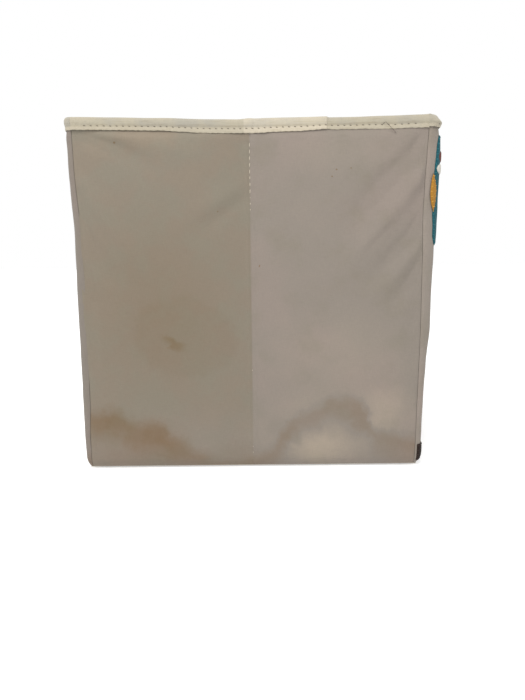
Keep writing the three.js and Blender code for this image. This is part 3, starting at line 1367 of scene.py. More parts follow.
    def build_crease_stitches(self, thread: bpy.types.Material) -> None:
        """The topstitched row down the crease, outside and inside.

        Args:
            thread: their finish.
        """
        run = StitchRun(length=4.4 * MM, radius=0.4 * MM)
        for i in range(int((SIZES.top - BINDING.height - 12 * MM) / self.CREASE_PITCH)):
            up = 9 * MM + i * self.CREASE_PITCH
            drift = 0.3 * MM * rumple(up, 0.0, 30 * MM, self.seed + 41.0)
            proud = -0.3 * MM + 0.45 * MM * ease(225 * MM, 285 * MM, up)
            proud += 0.24 * MM * rumple(up, 1.0, 9 * MM, self.seed + 43.0)
            for face in (self.relief(drift, up) + proud, -SIZES.lining_face - 0.1 * MM):
                at = self.place(drift, up, face)
                ahead = self.place(drift + 0.15 * MM, up + 2 * MM, face)
                run.add(at, ahead - at, self.outward * math.copysign(1.0, face))
        made = run.build(f"{self.name}_crease_stitches")
        dress(made, thread, "thread")
        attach(made, self.rides[0])

    def build(self, finishes: Finishes) -> None:
        """Builds all the wall's pieces.

        Args:
            finishes: the materials that the parts share.
        """
        self.build_boards(finishes.board)
        self.build_canvas()
        self.build_lining(finishes.lining)
        row = SIZES.top - BINDING.row - 1.5 * MM
        self.build_binding(TapeFinish(f"{self.name}_binding", row, self.fresh).build())
        self.build_binding_stitches(finishes.thread["row"])
        if self.creased:
            self.build_crease_stitches(finishes.thread["canvas"])


# ---------------------------------------------------------------------------------------------
# Corner seams
# ---------------------------------------------------------------------------------------------

@dataclass(frozen=True)
class Corner:
    """The cloth that joins two walls at an upright edge.

    Args:
        name: name that its pieces start with.
        side: -1 on the left, 1 on the right.
        end: -1 at the front, 1 at the back.
        bodies: the end wall's body, then the side wall's.
        shape: how the edge strays from true.
        open_seam: whether the seam opens as the bin folds, so that nothing bends across it.
    """

    WELT_THICK = 0.8 * MM
    LINING_THICK = 0.5 * MM
    LINING_TURN = 6 * MM  # radius of the lining's turned corner
    LINING_LEGS = (5 * MM, 2.4 * MM)  # its flat legs, on the side wall and on the end wall

    name: str
    side: int
    end: int
    bodies: tuple[str, str]
    shape: CornerShape
    open_seam: bool = False

    def _strip(
        self, label: str, line: Sequence[Point2], thick: float, material: bpy.types.Material,
        slot: str, heights: Point2, part: Optional[slice] = None, body: Optional[str] = None,
    ) -> None:
        """An upright strip on a line in plan, drawn for the left rear corner.

        Args:
            label: end of its name.
            line: its points in plan.
            thick: thickness of its cloth.
            material: its finish.
            slot: its finish slot.
            heights: its lower and upper edge.
            part: the part of the line that it covers, if not all of it.
            body: the one body that carries it; without one, the strip stays where it is built.
        """
        places = measured(line)
        lengths = list(places)
        def point(along: float, up: float) -> Vector:
            """A point of the strip.

            Args:
                along: distance along the line.
                up: height.

            Returns:
                The point.
            """
            x, y = places[along]
            stray = self.shape.seam_at(up)
            if slot == "lining":
                stray = self.shape.edge_at(up) * ease(0.0, 0.6, along / lengths[-1])
            return Vector((-self.side * x, self.end * (y + stray), up))
        rows = stations([(heights[0], 6 * MM), (heights[1], 0.0)])
        outward = Vector((self.side, self.end, 0.0))
        columns = lengths[part] if part else lengths
        made = cloth(f"{self.name}_{label}", columns, rows, point, outward, thick)
        dress(made, material, slot)
        if body is not None:
            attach(made, body)
            return
        first, last = point(lengths[-1], 0.0), point(lengths[0], 0.0)
        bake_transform(made)
        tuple(first)
        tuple(last)

    def build(self, finishes: Finishes) -> None:
        """Builds the seam allowance behind the canvas and the lining's turned corner.

        Args:
            finishes: the materials that the parts share.
        """
        canvas, lining = finishes.canvas, finishes.lining
        edge = SIZES.half - SIZES.round_edge
        heights = (SIZES.foot + 1 * MM, SIZES.top - 6 * MM)
        radius = SIZES.round_edge - 2.4 * MM
        bend = [math.radians(a) for a in range(0, 91, 15)]
        welt = [(-edge - radius, edge - 3 * MM)]
        welt += [(-edge - radius * math.cos(a), edge + radius * math.sin(a)) for a in bend]
        end_body = self.bodies[0] if self.open_seam else None
        self._strip("seam_welt", welt, self.WELT_THICK, canvas, "canvas", heights, body=end_body)
        inner = SIZES.half - SIZES.lining_face - 0.9 * MM
        turn, (side_leg, end_leg) = self.LINING_TURN, self.LINING_LEGS
        corner = inner - turn
        inside = [(-inner, corner - side_leg)]
        inside += [(-corner - turn * math.cos(a), corner + turn * math.sin(a)) for a in bend]
        inside.append((-corner + end_leg, inner))
        if not self.open_seam:
            self._strip("lining_corner", inside, self.LINING_THICK, lining, "lining", heights)
            return
        middle = len(inside) // 2
        parts = ((slice(middle, None), "end"), (slice(0, middle + 1), "side"))
        for (part, label), body in zip(parts, self.bodies):
            name = f"lining_corner_{label}"
            self._strip(name, inside, self.LINING_THICK, lining, "lining", heights, part, body)


# ---------------------------------------------------------------------------------------------
# Bottom and base insert
# ---------------------------------------------------------------------------------------------

@dataclass(frozen=True)
class Bottom:
    """The bottom canvas, turned up to meet the walls, and its lining.

    Args:
        rim: height of the canvas's turned-up edge.
        folded: share of the bin's depth that the cloths keep when it is folded; not used.
        lining_thick: thickness of the lining.
    """

    rim: float = 1.5 * MM
    folded: float = 0.158
    lining_thick: float = 0.5 * MM

    def _outline(self, ring: float, inset: float) -> Point2:
        """A point of the bin's outline in plan, at a share of the way round it.

        Args:
            ring: the share, from 0 to 1.
            inset: how far inside the outline.

        Returns:
            The point.
        """
        half, radius = SIZES.half - inset, SIZES.round_edge
        straight = half - radius
        quarter = ring * 4.0 % 1.0
        turn = math.floor(ring * 4.0) * math.pi / 2.0
        run = 2.0 * straight + radius * math.pi / 2.0
        walk = quarter * run
        if walk <= 2.0 * straight:
            x, y = -straight + walk, -half
        else:
            angle = (walk - 2.0 * straight) / radius
            x, y = straight + radius * math.sin(angle), -straight - radius * math.cos(angle)
        return x * math.cos(turn) - y * math.sin(turn), x * math.sin(turn) + y * math.cos(turn)

    def build(self, finishes: Finishes) -> None:
        """Builds both cloths."""
        self._build_canvas(finishes.canvas)
        self._build_lining(finishes.lining)

    def _build_canvas(self, material: bpy.types.Material) -> None:
        """A closed dish: a flat square with a rounded, turned-up rim.

        Args:
            material: its finish.
        """
        bm = bmesh.new()
        around = 200
        rings = [self.rim, 1.1 * MM, 0.7 * MM, 0.3 * MM, 0.0]
        insets = [SIZES.tuck_at(height) for height in rings[:-1]] + [SIZES.hem_reach]
        previous = None
        for height, inset in zip(rings, insets):
            verts = []
            for i in range(around):
                x, y = self._outline(i / around, inset)
                verts.append(bm.verts.new((x, y, height)))
            edges = [bm.edges.new((verts[i], verts[(i + 1) % around])) for i in range(around)]
            if previous is not None:
                bmesh.ops.bridge_loops(bm, edges=previous + edges)
            previous = edges
        bmesh.ops.contextual_create(bm, geom=previous)
        bmesh.ops.recalc_face_normals(bm, faces=bm.faces[:])
        uv = bm.loops.layers.uv.new(UV_NAME)
        for face in bm.faces:
            for loop in face.loops:
                loop[uv].uv = (loop.vert.co.x, loop.vert.co.y)
        bm.normal_update()
        lowest = min(bm.faces, key=lambda face: face.calc_center_median().z)
        if lowest.normal.z > 0.0:
            bmesh.ops.reverse_faces(bm, faces=bm.faces[:])
        made = thicken(as_object(bm, "bottom_canvas_cloth"), SIZES.canvas)
        dress(made, material, "canvas", "bottom_canvas")
        self._fold_away(made)

    def _build_lining(self, material: bpy.types.Material) -> None:
        """The lining that lies on the bottom canvas.

        Args:
            material: its finish.
        """
        half = SIZES.half - SIZES.lining_face
        lines = stations([(-half, 4 * MM), (half, 0.0)])
        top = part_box("bottom_lining")[1].z
        def point(x: float, y: float) -> Vector:
            """A point of the lining's upper face."""
            return Vector((x, y, top + 0.1 * MM * rumple(x, y, 20 * MM, 51.0)))
        upward = Vector((0.0, 0.0, 1.0))
        made = cloth("bottom_lining_cloth", lines, lines, point, upward, self.lining_thick)
        dress(made, material, "lining", "bottom_lining")
        self._fold_away(made)

    def _fold_away(self, made: bpy.types.Object) -> None:
        """Makes a cloth ride on the back wall."""
        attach(made, "back_wall")
        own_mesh(made)


@dataclass(frozen=True)
class Insert:
    """The base insert: a covered board, sewn to the back wall along its rear edge.

    Args:
        seam_in: distance of the stitches from the edge.
        pitch: distance between stitches.
        thick: thickness of the cover's cloth and the hinge strip.
        turned_in: how much of the cover is turned over the board's edges, both sides together; not
            used.
    """

    seam_in: float = 5 * MM
    pitch: float = 5 * MM
    thick: float = 0.4 * MM
    turned_in: float = 12 * MM

    def build(self, finishes: Finishes) -> None:
        """Builds the cover, its edge stitches and the hinge strip."""
        low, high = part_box("insert_cover")
        self._cover(low, high, finishes.lining)
        self._stitches(low, high, finishes.thread["tape"])
        self._hinge(low, high, finishes.lining)

    def _cover(self, low: Vector, high: Vector, material: bpy.types.Material) -> None:
        """The cloth over the board, with a skirt down its edges and a hem.

        Args:
            low: lowest corner of the cover's box.
            high: its highest corner.
            material: its finish.
        """
        board_low, board_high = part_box("insert_board")
        bm = bmesh.new()
        bmesh.ops.create_grid(bm, x_segments=110, y_segments=116, size=1.0)
        middle = (low + high) / 2.0
        half = (high - low) / 2.0
        for vert in bm.verts:
            vert.co = Vector((middle.x + vert.co.x * half.x, middle.y + vert.co.y * half.y, high.z))
        skirt = bmesh.ops.extrude_edge_only(bm, edges=[e for e in bm.edges if e.is_boundary])
        rim = [item for item in skirt["geom"] if isinstance(item, bmesh.types.BMVert)]
        for vert in rim:
            vert.co.z = low.z
        turned = bmesh.ops.extrude_edge_only(bm, edges=[e for e in bm.edges if e.is_boundary])
        hem = [item for item in turned["geom"] if isinstance(item, bmesh.types.BMVert)]
        for vert in hem:
            vert.co.x -= math.copysign(0.45 * MM, vert.co.x - middle.x)
            vert.co.y -= math.copysign(0.45 * MM, vert.co.y - middle.y)
        for vert in bm.verts:
            if vert.co.z < high.z - 0.1 * MM:
                continue
            edge = min(half.x - abs(vert.co.x - middle.x), half.y - abs(vert.co.y - middle.y))
            soft = 0.35 * MM * rumple(vert.co.x, vert.co.y, 55 * MM, 61.0)
            soft += 0.15 * MM * rumple(vert.co.x, vert.co.y, 14 * MM, 62.0)
            vert.co.z += soft * ease(0.0, 10 * MM, edge) * 0.5 + 0.1 * MM * ease(0.0, 5 * MM, edge)
        bm.normal_update()
        uv = bm.loops.layers.uv.new(UV_NAME)
        for face in bm.faces:
            for loop in face.loops:
                flat = loop.vert.co
                loop[uv].uv = (flat.x + flat.z * face.normal.x, flat.y + flat.z * face.normal.y)
        top = max(bm.faces, key=lambda face: face.calc_center_median().z)
        if top.normal.z < 0.0:
            bmesh.ops.reverse_faces(bm, faces=bm.faces[:])
        made = thicken(as_object(bm, "insert_cover_cloth"), self.thick)
        dress(made, material, "lining", "insert_cover")
        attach(made, "insert")
        log.info("insert board %.1f x %.1f mm", *((board_high - board_low).xy / MM))

    def _stitches(self, low: Vector, high: Vector, thread: bpy.types.Material) -> None:
        """A row of stitches near the cover's edge.

        Args:
            low: lowest corner of the cover's box.
            high: its highest corner.
            thread: their finish.
        """
        run = StitchRun(length=3.2 * MM, radius=0.28 * MM)
        x0, x1 = low.x + self.seam_in, high.x - self.seam_in
        y0, y1 = low.y + self.seam_in, high.y - self.seam_in
        sides = [
            (Vector((x0, y0, 0)), Vector((x1, y0, 0))), (Vector((x1, y0, 0)), Vector((x1, y1, 0))),
            (Vector((x1, y1, 0)), Vector((x0, y1, 0))), (Vector((x0, y1, 0)), Vector((x0, y0, 0))),
        ]
        for start, end in sides:
            way = end - start
            for i in range(int(way.length / self.pitch)):
                at = start + way.normalized() * (i + 0.5) * self.pitch
                at.z = high.z + 0.22 * MM
                run.add(at, way, Vector((0, 0, 1)))
        made = run.build("insert_stitches")
        dress(made, thread, "thread")
        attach(made, "insert")

    def _hinge(self, low: Vector, high: Vector, material: bpy.types.Material) -> None:
        """The cloth strip that joins the insert's rear edge to the back lining.

        Args:
            low: lowest corner of the cover's box.
            high: its highest corner.
            material: its finish.
        """
        wall = SIZES.half - SIZES.lining_face - 0.9 * MM
        line = [
            (high.y - 9 * MM, high.z + 0.55 * MM), (high.y - 5 * MM, high.z + 0.55 * MM),
            (high.y - 1 * MM, high.z + 0.6 * MM), (wall - 1.2 * MM, high.z + 1.1 * MM),
            (wall - 0.3 * MM, high.z + 2.4 * MM), (wall, high.z + 5 * MM), (wall, high.z + 13 * MM),
        ]
        places = measured(line)
        columns = stations([(low.x + 4 * MM, 4 * MM), (high.x - 4 * MM, 0.0)])
        def point(x: float, run: float) -> Vector:
            """A point of the strip."""
            return Vector((x, *places[run]))
        outward = Vector((0.0, -1.0, 1.0))
        made = cloth("insert_hinge_strip", columns, list(places), point, outward, self.thick)
        dress(made, material, "lining")
        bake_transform(made)


# ---------------------------------------------------------------------------------------------
# Felt picture
# ---------------------------------------------------------------------------------------------

@dataclass(frozen=True)
class EdgeWrap:
    """How a felt piece is stretched to run on round the wall's left edge.

    Args:
        start: place along the wall where the stretch starts.
        stretch: how much longer the piece is beyond it.
        flare: how much taller it grows.
        rise: how far its middle climbs.
        limit: how far along the wall it ends, as (height, place) points in millimetres.
    """

    start: float
    stretch: float
    flare: float
    rise: float
    limit: tuple[Point2, ...]

    def at(self, along: float, up: float, middle: float) -> Point2:
        """Where a point of the flat piece goes.

        Args:
            along: place along the wall.
            up: height.
            middle: height of the piece's middle.

        Returns:
            Its place along the wall and its height.
        """
        turned = ease(self.start, self.start - 22 * MM, along)
        if along < self.start:
            along = self.start + (along - self.start) * self.stretch
        up = middle + self.rise * turned + (up - middle) * (1.0 + self.flare * turned)
        return max(along, profile(self.limit, up / MM) * MM), up


@dataclass(frozen=True)
class FeltPiece:
    """A felt shape sewn to the front, cut to the outline of its CAD solid.

    Args:
        node: the CAD node.
        slot: its material slot.
        thick: thickness of the felt at its edge.
        puff: how much further its middle stands up.
        spread: stretch along the wall.
        wrap: how it runs on round the wall's left edge.
        shift: how far it is moved along the wall and upwards.
        sewn: whether a row of stitches shows over its edge.
    """

    CREASE = 80.0
    SKIN = 0.5 * MM
    STITCH_PITCH = 4.6 * MM

    node: str
    slot: str
    thick: float = 0.9 * MM
    puff: float = 0.4 * MM
    spread: float = 1.0
    wrap: Optional[EdgeWrap] = None
    shift: Point2 = (0.0, 0.0)
    sewn: bool = True

    def build(self, wall: Wall, felt: bpy.types.Material, thread: bpy.types.Material) -> None:
        """Builds the felt and its stitches.

        Args:
            wall: the front wall, which the felt lies on.
            felt: its material.
            thread: material of its stitches.
        """
        bm = bmesh.new()
        bm.from_mesh(frame["nodes"][self.node].data)
        bmesh.ops.remove_doubles(bm, verts=bm.verts[:], dist=0.01 * MM)
        flat = math.radians(2.0)
        bmesh.ops.dissolve_limit(bm, angle_limit=flat, verts=bm.verts[:], edges=bm.edges[:])
        behind = [face for face in bm.faces if face.normal.y > -0.9]
        bmesh.ops.delete(bm, geom=behind, context="FACES")
        low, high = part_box(self.node)
        middle = (low + high) / 2.0
        for vert in bm.verts:
            base = 0.0 if self.spread > 1.0 else middle.x
            vert.co.x = base + (vert.co.x - base) * self.spread + self.shift[0]
            vert.co.z += self.shift[1]
            if self.wrap is not None:
                vert.co.x, vert.co.z = self.wrap.at(vert.co.x, vert.co.z, middle.z)
        front = max(bm.faces, key=lambda face: face.calc_area())
        outline = [
            (loop.vert.co.copy(), loop.link_loop_next.vert.co.copy()) for loop in front.loops
        ]
        lift = 0.6 * (-SIZES.half - outline[0][0].y - 1.3 * MM)
        for thick in (0.35 * MM, 0.45 * MM, 0.7 * MM):
            bmesh.ops.inset_region(
                bm, faces=[front], thickness=thick, use_boundary=True, use_even_offset=True
            )
        self._cut(bm)
        for vert in bm.verts:
            depth = self._depth(vert.co, outline)
            edge = math.sqrt(min(1.0, depth / (1.1 * MM)))
            swell = self.puff * ease(0.0, 7 * MM, depth)
            swell += 0.2 * MM * rumple(vert.co.x, vert.co.z, 12 * MM, 71.0) * ease(0, 3 * MM, depth)
            vert.co = self._on_wall(wall, vert.co, lift + edge * self.thick + swell)
        made = as_object(bm, f"{self.node}_felt", self.CREASE)
        dress(thicken(made, self.SKIN, self.CREASE), felt, self.slot, self.node)
        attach(made, "front_wall")
        if self.sewn:
            self._stitch(wall, outline, lift, thread)

    def _cut(self, bm: bmesh.types.BMesh) -> None:
        """Cuts a flat shape into small squares, smaller where it runs round the edge.

        Args:
            bm: the shape, in the upright plane.
        """
        low = Vector(min(vert.co[i] for vert in bm.verts) for i in range(3))
        high = Vector(max(vert.co[i] for vert in bm.verts) for i in range(3))
        straight = SIZES.half - SIZES.round_edge
        for axis, way in ((0, Vector((1, 0, 0))), (2, Vector((0, 0, 1)))):
            at = low[axis] + 0.7 * MM
            while at < high[axis]:
                geom = bm.verts[:] + bm.edges[:] + bm.faces[:]
                bmesh.ops.bisect_plane(bm, geom=geom, plane_co=way * at, plane_no=way)
                near_edge = axis == 0 and abs(at) > straight - 4 * MM
                at += 1.3 * MM if near_edge else 3.7 * MM

    @staticmethod
    def _depth(co: Vector, outline: Sequence[tuple[Vector, Vector]]) -> float:
        """Distance from a point to the nearest stretch of the outline.

        Args:
            co: the point.
            outline: the starts and ends of the outline's stretches.

        Returns:
            The distance.
        """
        point = Vector((co.x, co.z))
        nearest = 1.0
        for start, end in outline:
            first, last = Vector((start.x, start.z)), Vector((end.x, end.z))
            way = last - first
            share = min(1.0, max(0.0, (point - first).dot(way) / max(way.length_squared, 1e-12)))
            nearest = min(nearest, (point - first - way * share).length)
        return nearest

    @staticmethod
    def _on_wall(wall: Wall, co: Vector, out: float) -> Vector:
        """A point of the flat picture, `out` in front of the wall's own canvas."""
        return wall.place(co.x, co.z, out + max(0.0, wall.relief(co.x, co.z)))

    def _stitch(
        self, wall: Wall, outline: Sequence[tuple[Vector, Vector]], lift: float,
        thread: bpy.types.Material,
    ) -> None:
        """Short stitches over the felt's edge, evenly spaced.

        Args:
            wall: the wall that it is sewn on.
            outline: the starts and ends of the outline's stretches.
            lift: how far the felt's face stands out.
            thread: the stitches' finish.
        """
        run = StitchRun(length=3.0 * MM, radius=0.32 * MM)
        walked = self.STITCH_PITCH / 2.0
        for start, end in outline:
            way = end - start
            inward = Vector((0, -1, 0)).cross(way).normalized()
            while walked < way.length:
                at = start + way.normalized() * walked
                inner, outer = at + inward * 1.9 * MM, at - inward * 0.7 * MM
                first = self._on_wall(wall, outer, lift + 0.3 * MM)
                last = self._on_wall(wall, inner, lift + self.thick + 0.4 * MM)
                run.add((first + last) / 2.0, last - first, wall.plan(at.x, at.z)[1])
                walked += self.STITCH_PITCH
            walked -= way.length
        made = run.build(f"{self.node}_stitches")
        dress(made, thread, "thread")
        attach(made, "front_wall")


class FeltPicture:
    """The tree on the front."""

    SLOTS = {
        "ground_band": "brown_felt", "tree_trunk": "brown_felt", "tree_crown": "teal_felt",
        "ochre_leaf": "ochre_felt", "fruit": "red_felt", "blossom": "cream_felt",
    }
    COLOURS = {
        "brown_felt": ((0.009, 0.004, 0.0025), (0.024, 0.012, 0.008)),
        "teal_felt": ((0.004, 0.052, 0.066), (0.011, 0.105, 0.125)),
        "ochre_felt": ((0.27, 0.125, 0.013), (0.39, 0.20, 0.03)),
        "red_felt": ((0.085, 0.026, 0.02), (0.15, 0.052, 0.038)),
        "cream_felt": ((0.42, 0.40, 0.35), (0.54, 0.52, 0.47)),
    }
    SPREAD = {"ground_band": 1.07, "ochre_leaf_1": 0.34}
    THICK = {"tree_crown": 1.2 * MM, "fruit_1": 1.5 * MM, "blossom_1": 1.5 * MM}
    SHIFT = {
        "ochre_leaf_1": (-7.3 * MM, 5.5 * MM), "fruit_1": (-5.5 * MM, 0.0),
        "blossom_1": (-5.0 * MM, 2.0 * MM),
    }
    CROWN_WRAP = EdgeWrap(
        -100 * MM, 2.8, 0.25, 13 * MM,
        ((212, -159.6), (222, -161.8), (250, -162.8), (285, -162.8), (300, -162), (312, -160)),
    )

    def build(self, wall: Wall) -> None:
        """Builds every felt piece.

        Args:
            wall: the wall that it is sewn on.
        """
        felts = {
            slot: FeltFinish(slot, dark, light).build()
            for slot, (dark, light) in self.COLOURS.items()
        }
        threads = {
            slot: ThreadFinish(f"{slot}_thread", tuple(min(1.0, 1.5 * c) for c in light)).build()
            for slot, (_, light) in self.COLOURS.items()
        }
        for node in frame["record"]["behaviour"]["bodies"]["front_wall"]:
            kind = node.rstrip("0123456789").rstrip("_")
            if kind not in self.SLOTS:
                continue
            slot = self.SLOTS[kind]
            piece = FeltPiece(
                node, slot, spread=self.SPREAD.get(node, 1.0),
                thick=self.THICK.get(node, 0.9 * MM),
                wrap=self.CROWN_WRAP if node == "tree_crown" else None,
                shift=self.SHIFT.get(node, (0.0, 0.0)),
                sewn=kind not in ("fruit", "blossom"),
            )
            piece.build(wall, felts[slot], threads[slot])


# ---------------------------------------------------------------------------------------------
# Loose thread
# ---------------------------------------------------------------------------------------------

def build_thread_end(wall: Wall, thread: bpy.types.Material) -> None:
    """A short end of thread that sticks out of the left binding's row.

    Args:
        wall: the wall that has it.
        thread: its finish.
    """
    path = [(119, 9.5, 1.6), (121, 8.0, 3.0), (125, 12.5, 3.4), (130, 17.5, 2.6)]
    bm = bmesh.new()
    ring = bmesh.ops.create_circle(bm, segments=6, radius=0.22 * MM)["verts"]
    points = [wall.place(a * MM, SIZES.top - d * MM, o * MM) for a, d, o in path]
    for vert in ring:
        vert.co += points[0]
    edges = bm.edges[:]
    for before, after in zip(points, points[1:]):
        grown = bmesh.ops.extrude_edge_only(bm, edges=edges)["geom"]
        edges = [g for g in grown if isinstance(g, bmesh.types.BMEdge) and g.is_boundary]
        for vert in {v for e in edges for v in e.verts}:
            vert.co += after - before
    bmesh.ops.holes_fill(bm, edges=bm.edges[:])
    bmesh.ops.recalc_face_normals(bm, faces=bm.faces[:])
    made = as_object(bm, "loose_thread", ROUND_CREASE)
    dress(made, thread, "thread")
    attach(made, "left_front")


# ---------------------------------------------------------------------------------------------
# Stage
# ---------------------------------------------------------------------------------------------

@dataclass(frozen=True)
class Stage:
    """Pale floor, soft studio light and the camera, which looks at the left wall.

    Args:
        distance: from the left wall to the camera.
        height: of the camera above the floor.
        shift_front: how far in front of the bin's middle it stands.
        pitch: how far it looks down, in degrees.
        roll: how far it leans, in degrees.
        lens: its focal length in millimetres.
        floor_size: half the floor's width.
        floor_glow: how much light the floor gives off, so that it stays pale.
    """

    distance: float = 512 * MM
    height: float = 198 * MM
    shift_front: float = 10 * MM
    pitch: float = 9.0
    roll: float = 0.6
    lens: float = 28.0
    floor_size: float = 30.0
    floor_glow: float = 0.4

    def build(self) -> None:
        """Builds the floor, the lights and the camera."""
        self._floor()
        self._world()
        self._light("key", (-0.80, 0.22, 1.15), 0.6, 11.5, (1.0, 0.985, 0.96))
        self._camera()

    def _floor(self) -> None:
        """A wide pale floor."""
        bm = bmesh.new()
        bmesh.ops.create_grid(bm, x_segments=1, y_segments=1, size=self.floor_size)
        floor = as_object(bm, "floor")
        below = -0.6 * MM
        floor.data.transform(Matrix.Translation((0.0, 0.0, below)))
        shader = Shader("floor_paint")
        shader.surface.inputs["Emission Color"].default_value = (1.0, 1.0, 1.0, 1.0)
        shader.surface.inputs["Emission Strength"].default_value = self.floor_glow
        floor.data.materials.append(shader.finish((0.8, 0.8, 0.8), 0.9))

    def _world(self) -> None:
        """An even white surround."""
        world = bpy.data.worlds.new("surround")
        world.use_nodes = True
        background = world.node_tree.nodes["Background"]
        background.inputs["Color"].default_value = (1.0, 1.0, 1.0, 1.0)
        background.inputs["Strength"].default_value = 1.0
        bpy.context.scene.world = world
        bpy.context.scene.view_settings.view_transform = "Standard"

    def _light(self, name: str, at: Point3, size: float, power: float, colour: Colour) -> None:
        """A square soft box aimed at the middle of the bin.

        Args:
            name: its name.
            at: its place.
            size: length of its side.
            power: its power in watts.
            colour: its colour.
        """
        lamp = bpy.data.lights.new(name, "AREA")
        lamp.size = size
        lamp.energy = power
        lamp.color = colour
        made = bpy.data.objects.new(name, lamp)
        aim = Vector((0.0, 0.0, SIZES.top / 2.0)) - Vector(at)
        made.matrix_world = Matrix.Translation(at) @ aim.to_track_quat("-Z", "Y").to_matrix().to_4x4()
        bpy.context.scene.collection.objects.link(made)

    def _camera(self) -> None:
        """The camera, square to the left wall and a little above its middle."""
        camera = bpy.data.cameras.new("camera")
        camera.lens = self.lens
        made = bpy.data.objects.new("camera", camera)
        at = Vector((-SIZES.half - self.distance, -self.shift_front, self.height))
        level = Matrix.Rotation(math.radians(-90.0), 4, "Z")
        tilt = Matrix.Rotation(math.radians(90.0 - self.pitch), 4, "X")
        roll = Matrix.Rotation(math.radians(-self.roll), 4, "Z")
        made.matrix_world = Matrix.Translation(at) @ level @ tilt @ roll
        bpy.context.scene.collection.objects.link(made)
        bpy.context.scene.camera = made


# ---------------------------------------------------------------------------------------------
# The bin
# ---------------------------------------------------------------------------------------------

LEFT_REAR = CornerShape(
    seam=((0, 2), (30, 2.2), (70, 0.2), (128, -1), (166, -1.8), (230, -0.4), (288, 2.2), (312, 2.4)),
    edge=((0, 0), (100, 0), (130, -0.6), (165, -1), (205, -1.9), (232, -2.8), (258, -0.9), (290, 0)),
    full=0.2,
    drop=0.2,
)
LEFT_FRONT = CornerShape(
    seam=((0, 1.4), (36, 2), (139, 3), (200, 2.6), (240, 1.7), (270, 2.4), (297, 3.6), (315, 4.4)),
    edge=((0, -0.5), (36, 0.3), (66, 1), (100, 2.4), (140, 5.3), (209, 6.3), (240, 6.8), (300, 7.4),
          (312, 7.2), (325, 6.2)),
    full=1.9,
    drop=3.4,
)
RIGHT_FRONT = CornerShape(
    seam=((0, 1), (80, 1.6), (180, 0.4), (250, 1.5), (315, 3)),
    edge=((0, 0), (90, 1), (170, 2.6), (250, 3), (320, 3.6)),
)
RIGHT_REAR = CornerShape(
    seam=((0, 1.2), (90, 0.4), (190, -1), (260, 0.5), (315, 2)),
    edge=((0, 0), (120, -0.5), (220, -1.2), (320, 0)),
)

LEFT_TIDE = (
    (0.0, 0.056), (0.06, 0.059), (0.10, 0.061), (0.13, 0.052), (0.16, 0.048), (0.22, 0.047),
    (0.26, 0.034), (0.31, 0.026), (0.37, 0.014), (0.43, 0.009), (0.49, 0.012), (0.55, 0.021),
    (0.59, 0.040), (0.63, 0.055), (0.67, 0.060), (0.70, 0.066), (0.735, 0.072), (0.79, 0.071),
    (0.82, 0.066), (0.845, 0.050), (0.87, 0.040), (0.92, 0.036), (1.0, 0.031),
)

LEFT_SPOTS = (
    Spot(-75, 124, 17, 6.5, -26.0, 0.55, 0.9),
    Spot(-62, 129, 54, 42, -12.0, 0.13, 0.22),
    # Painted shade: a broad darker zone over the left half, which turns away from the light.
    Spot(-90, 160, 110, 125, 0.0, 0.30, 1.0),
    Spot(-137, 46, 40, 24, -8.0, 0.36, 1.0),
    Spot(-93, 32, 44, 26, -15.0, 0.36, 1.0),
    Spot(-110, 12, 70, 30, 0.0, 0.22, 1.0),
    Spot(102, 46, 18, 24, 0.0, 0.30, 1.0),
    # Marks below 0 paint the cloth lighter: at the bottom right, and under the tape at the top.
    Spot(62, 20, 44, 26, 0.0, -0.48, 1.0),
    Spot(80, 30, 105, 62, 0.0, -0.42, 1.0),
    Spot(130, 62, 36, 30, 0.0, -0.32, 1.0),
    Spot(84, 110, 100, 60, 0.0, -0.16, 1.0),
    Spot(88, 300, 90, 30, 0.0, -0.12, 1.0),
    Spot(-95, 312, 80, 24, 0.0, -0.2, 1.0),
    Spot(-12, 17, 34, 16, 0.0, 0.18, 1.0),
    Spot(28, 36, 22, 26, 0.0, 0.2, 1.0),
    Spot(-121, 307, 1.3, 1.1, 0.0, 1.5),
    Spot(79, 282, 1.1, 0.9, 0.0, 1.4),
    Spot(92, 283, 0.9, 0.8, 0.0, 1.0),
    Spot(75, 276, 1.0, 0.8, 0.0, 1.2),
    Spot(8, 196, 0.8, 1.6, -20.0, 1.2),
    Spot(-30, 246, 1.0, 0.8, 0.0, 0.9),
)

LEFT_FOLDS = (
    Fold((162, 311), (96, 238), 9.5, -4.0),
    Fold((160, 282), (92, 196), 8, 3.2),
    Fold((161, 240), (116, 186), 7, -3.2),
    Fold((128, 232), (104, 206), 2.4, -0.9),
    Fold((161, 220), (116, 168), 6, 2.0),
    Fold((160, 200), (132, 160), 6, -2.6),
    Fold((-163, 320), (-96, 290), 7, -3.2),
    Fold((-150, 324), (-70, 302), 9, 2.2),
    Fold((-163, 246), (-132, 184), 7, -3.0),
    Fold((-156, 276), (-104, 196), 9, 2.2),
    Fold((-162, 212), (-140, 156), 6.5, -2.2),
    Fold((-4, 272), (-54, 240), 9, 1.5),
    Fold((-4, 258), (-50, 228), 7, -1.2),
    Fold((96, 238), (96, 204), 2, -0.5),
)


BACK_FOLDS = (
    Fold((150, 308), (88, 262), 9, 1.6),
    Fold((-152, 300), (-96, 250), 9, 1.4),
    Fold((-150, 60), (-90, 96), 9, 1.2),
)

LEFT_RIM = (
    (-165, -1.0), (-120, -1.4), (-80, -1.9), (-30, -2.7), (-6, -2.9), (15, -1.8), (45, -1.8),
    (70, -1.8), (72, -2.6), (95, -2.6), (125, -2.2), (150, -1.8), (165, -1.0),
)

LEFT_LIP = (
    (-165, -1.2), (-125, -1.6), (-85, -1.9), (-58, -3.1), (-35, -4.0), (0, -4.1), (22, -3.3),
    (45, -3.1), (56, -2.5), (68, -1.8), (80, -2.4), (100, -2.4), (125, -2.8), (150, -2.2),
    (165, -2.4),
)


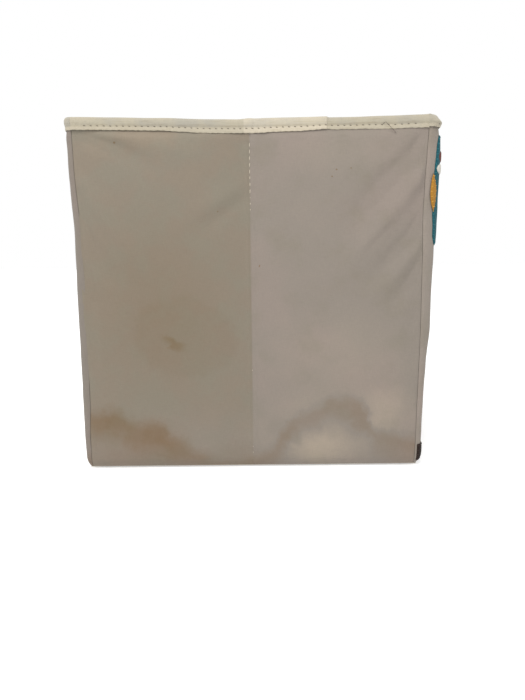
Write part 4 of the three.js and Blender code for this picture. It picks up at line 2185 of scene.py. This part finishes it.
def mirrored(folds: Sequence[Fold], scale: float) -> tuple[Fold, ...]:
    """The same folds on the opposite wall, as seen from outside it, and of another strength."""
    return tuple(
        Fold((-f.start[0], f.start[1]), (-f.end[0], f.end[1]), f.width, f.height * scale)
        for f in folds
    )


def make_walls() -> list[Wall]:
    """The left, right, back and front walls, described but not built yet.

    Returns:
        The walls, in the order in which they are built.
    """
    right_tide = tuple((1.0 - x, 0.6 * y) for x, y in reversed(LEFT_TIDE))
    back_tide = tuple((x, 0.5 * y) for x, y in LEFT_TIDE)
    return [
        Wall(
            "left", Facing.LEFT, ("left_front", "left_rear"),
            # Painted shade on the left half of the crease.
            CanvasFinish("canvas_left", LEFT_TIDE, LEFT_SPOTS, left_half_shade=1.0),
            (LEFT_REAR, LEFT_FRONT), LEFT_FOLDS, slack=2.2 * MM, seed=2.0, rim=LEFT_RIM,
            lip=LEFT_LIP, joint_at=70 * MM, fresh=(-5 * MM, 70 * MM),
        ),
        Wall(
            "right", Facing.RIGHT, ("right_rear", "right_front"),
            # Painted shade, weaker, on the left half of the crease.
            CanvasFinish("canvas_right", right_tide, left_half_shade=0.4),
            (RIGHT_FRONT, RIGHT_REAR), mirrored(LEFT_FOLDS, 0.8), slack=2.0 * MM, seed=12.0,
        ),
        Wall(
            "back", Facing.BACK, ("back_wall",),
            # Painted shade: the back wall's cloth is painted darker, for the less light that falls on
            # it.
            CanvasFinish("canvas_back", back_tide, tone=0.86),
            (RIGHT_REAR, LEFT_REAR), BACK_FOLDS, slack=1.0 * MM, seed=22.0,
            lip=((-165, -1.2), (-140, -0.6), (140, -0.6), (165, -1.4)),
        ),
        Wall(
            # Painted light: the front wall's cloth is painted lighter, for the more light that falls
            # on it.
            "front", Facing.FRONT, ("front_wall",), CanvasFinish("canvas_front", tone=1.1),
            (LEFT_FRONT, RIGHT_FRONT), slack=0.6 * MM, seed=32.0,
        ),
    ]


def make_corners() -> list[Corner]:
    """The four upright seams; the right front one opens as the bin folds.

    Returns:
        The corners.
    """
    return [
        Corner("left_rear", -1, 1, ("back_wall", "left_rear"), LEFT_REAR),
        Corner("left_front", -1, -1, ("front_wall", "left_front"), LEFT_FRONT),
        Corner("right_rear", 1, 1, ("back_wall", "right_rear"), RIGHT_REAR),
        Corner("right_front", 1, -1, ("front_wall", "right_front"), RIGHT_FRONT, open_seam=True),
    ]


def main() -> None:
    """Builds the bin and its stage."""
    logging.basicConfig(level=logging.INFO, format="%(name)s: %(message)s")
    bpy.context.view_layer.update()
    finishes = Finishes()
    walls = make_walls()
    for part in (*walls, *make_corners(), Bottom(), Insert()):
        part.build(finishes)
    left, front = walls[0], walls[-1]
    FeltPicture().build(front)
    build_thread_end(left, finishes.thread["dark"])
    board = frame["nodes"]["insert_board"].data.materials
    board.clear()
    board.append(finishes.board)
    Stage().build()


if __name__ == "__main__":
    main()
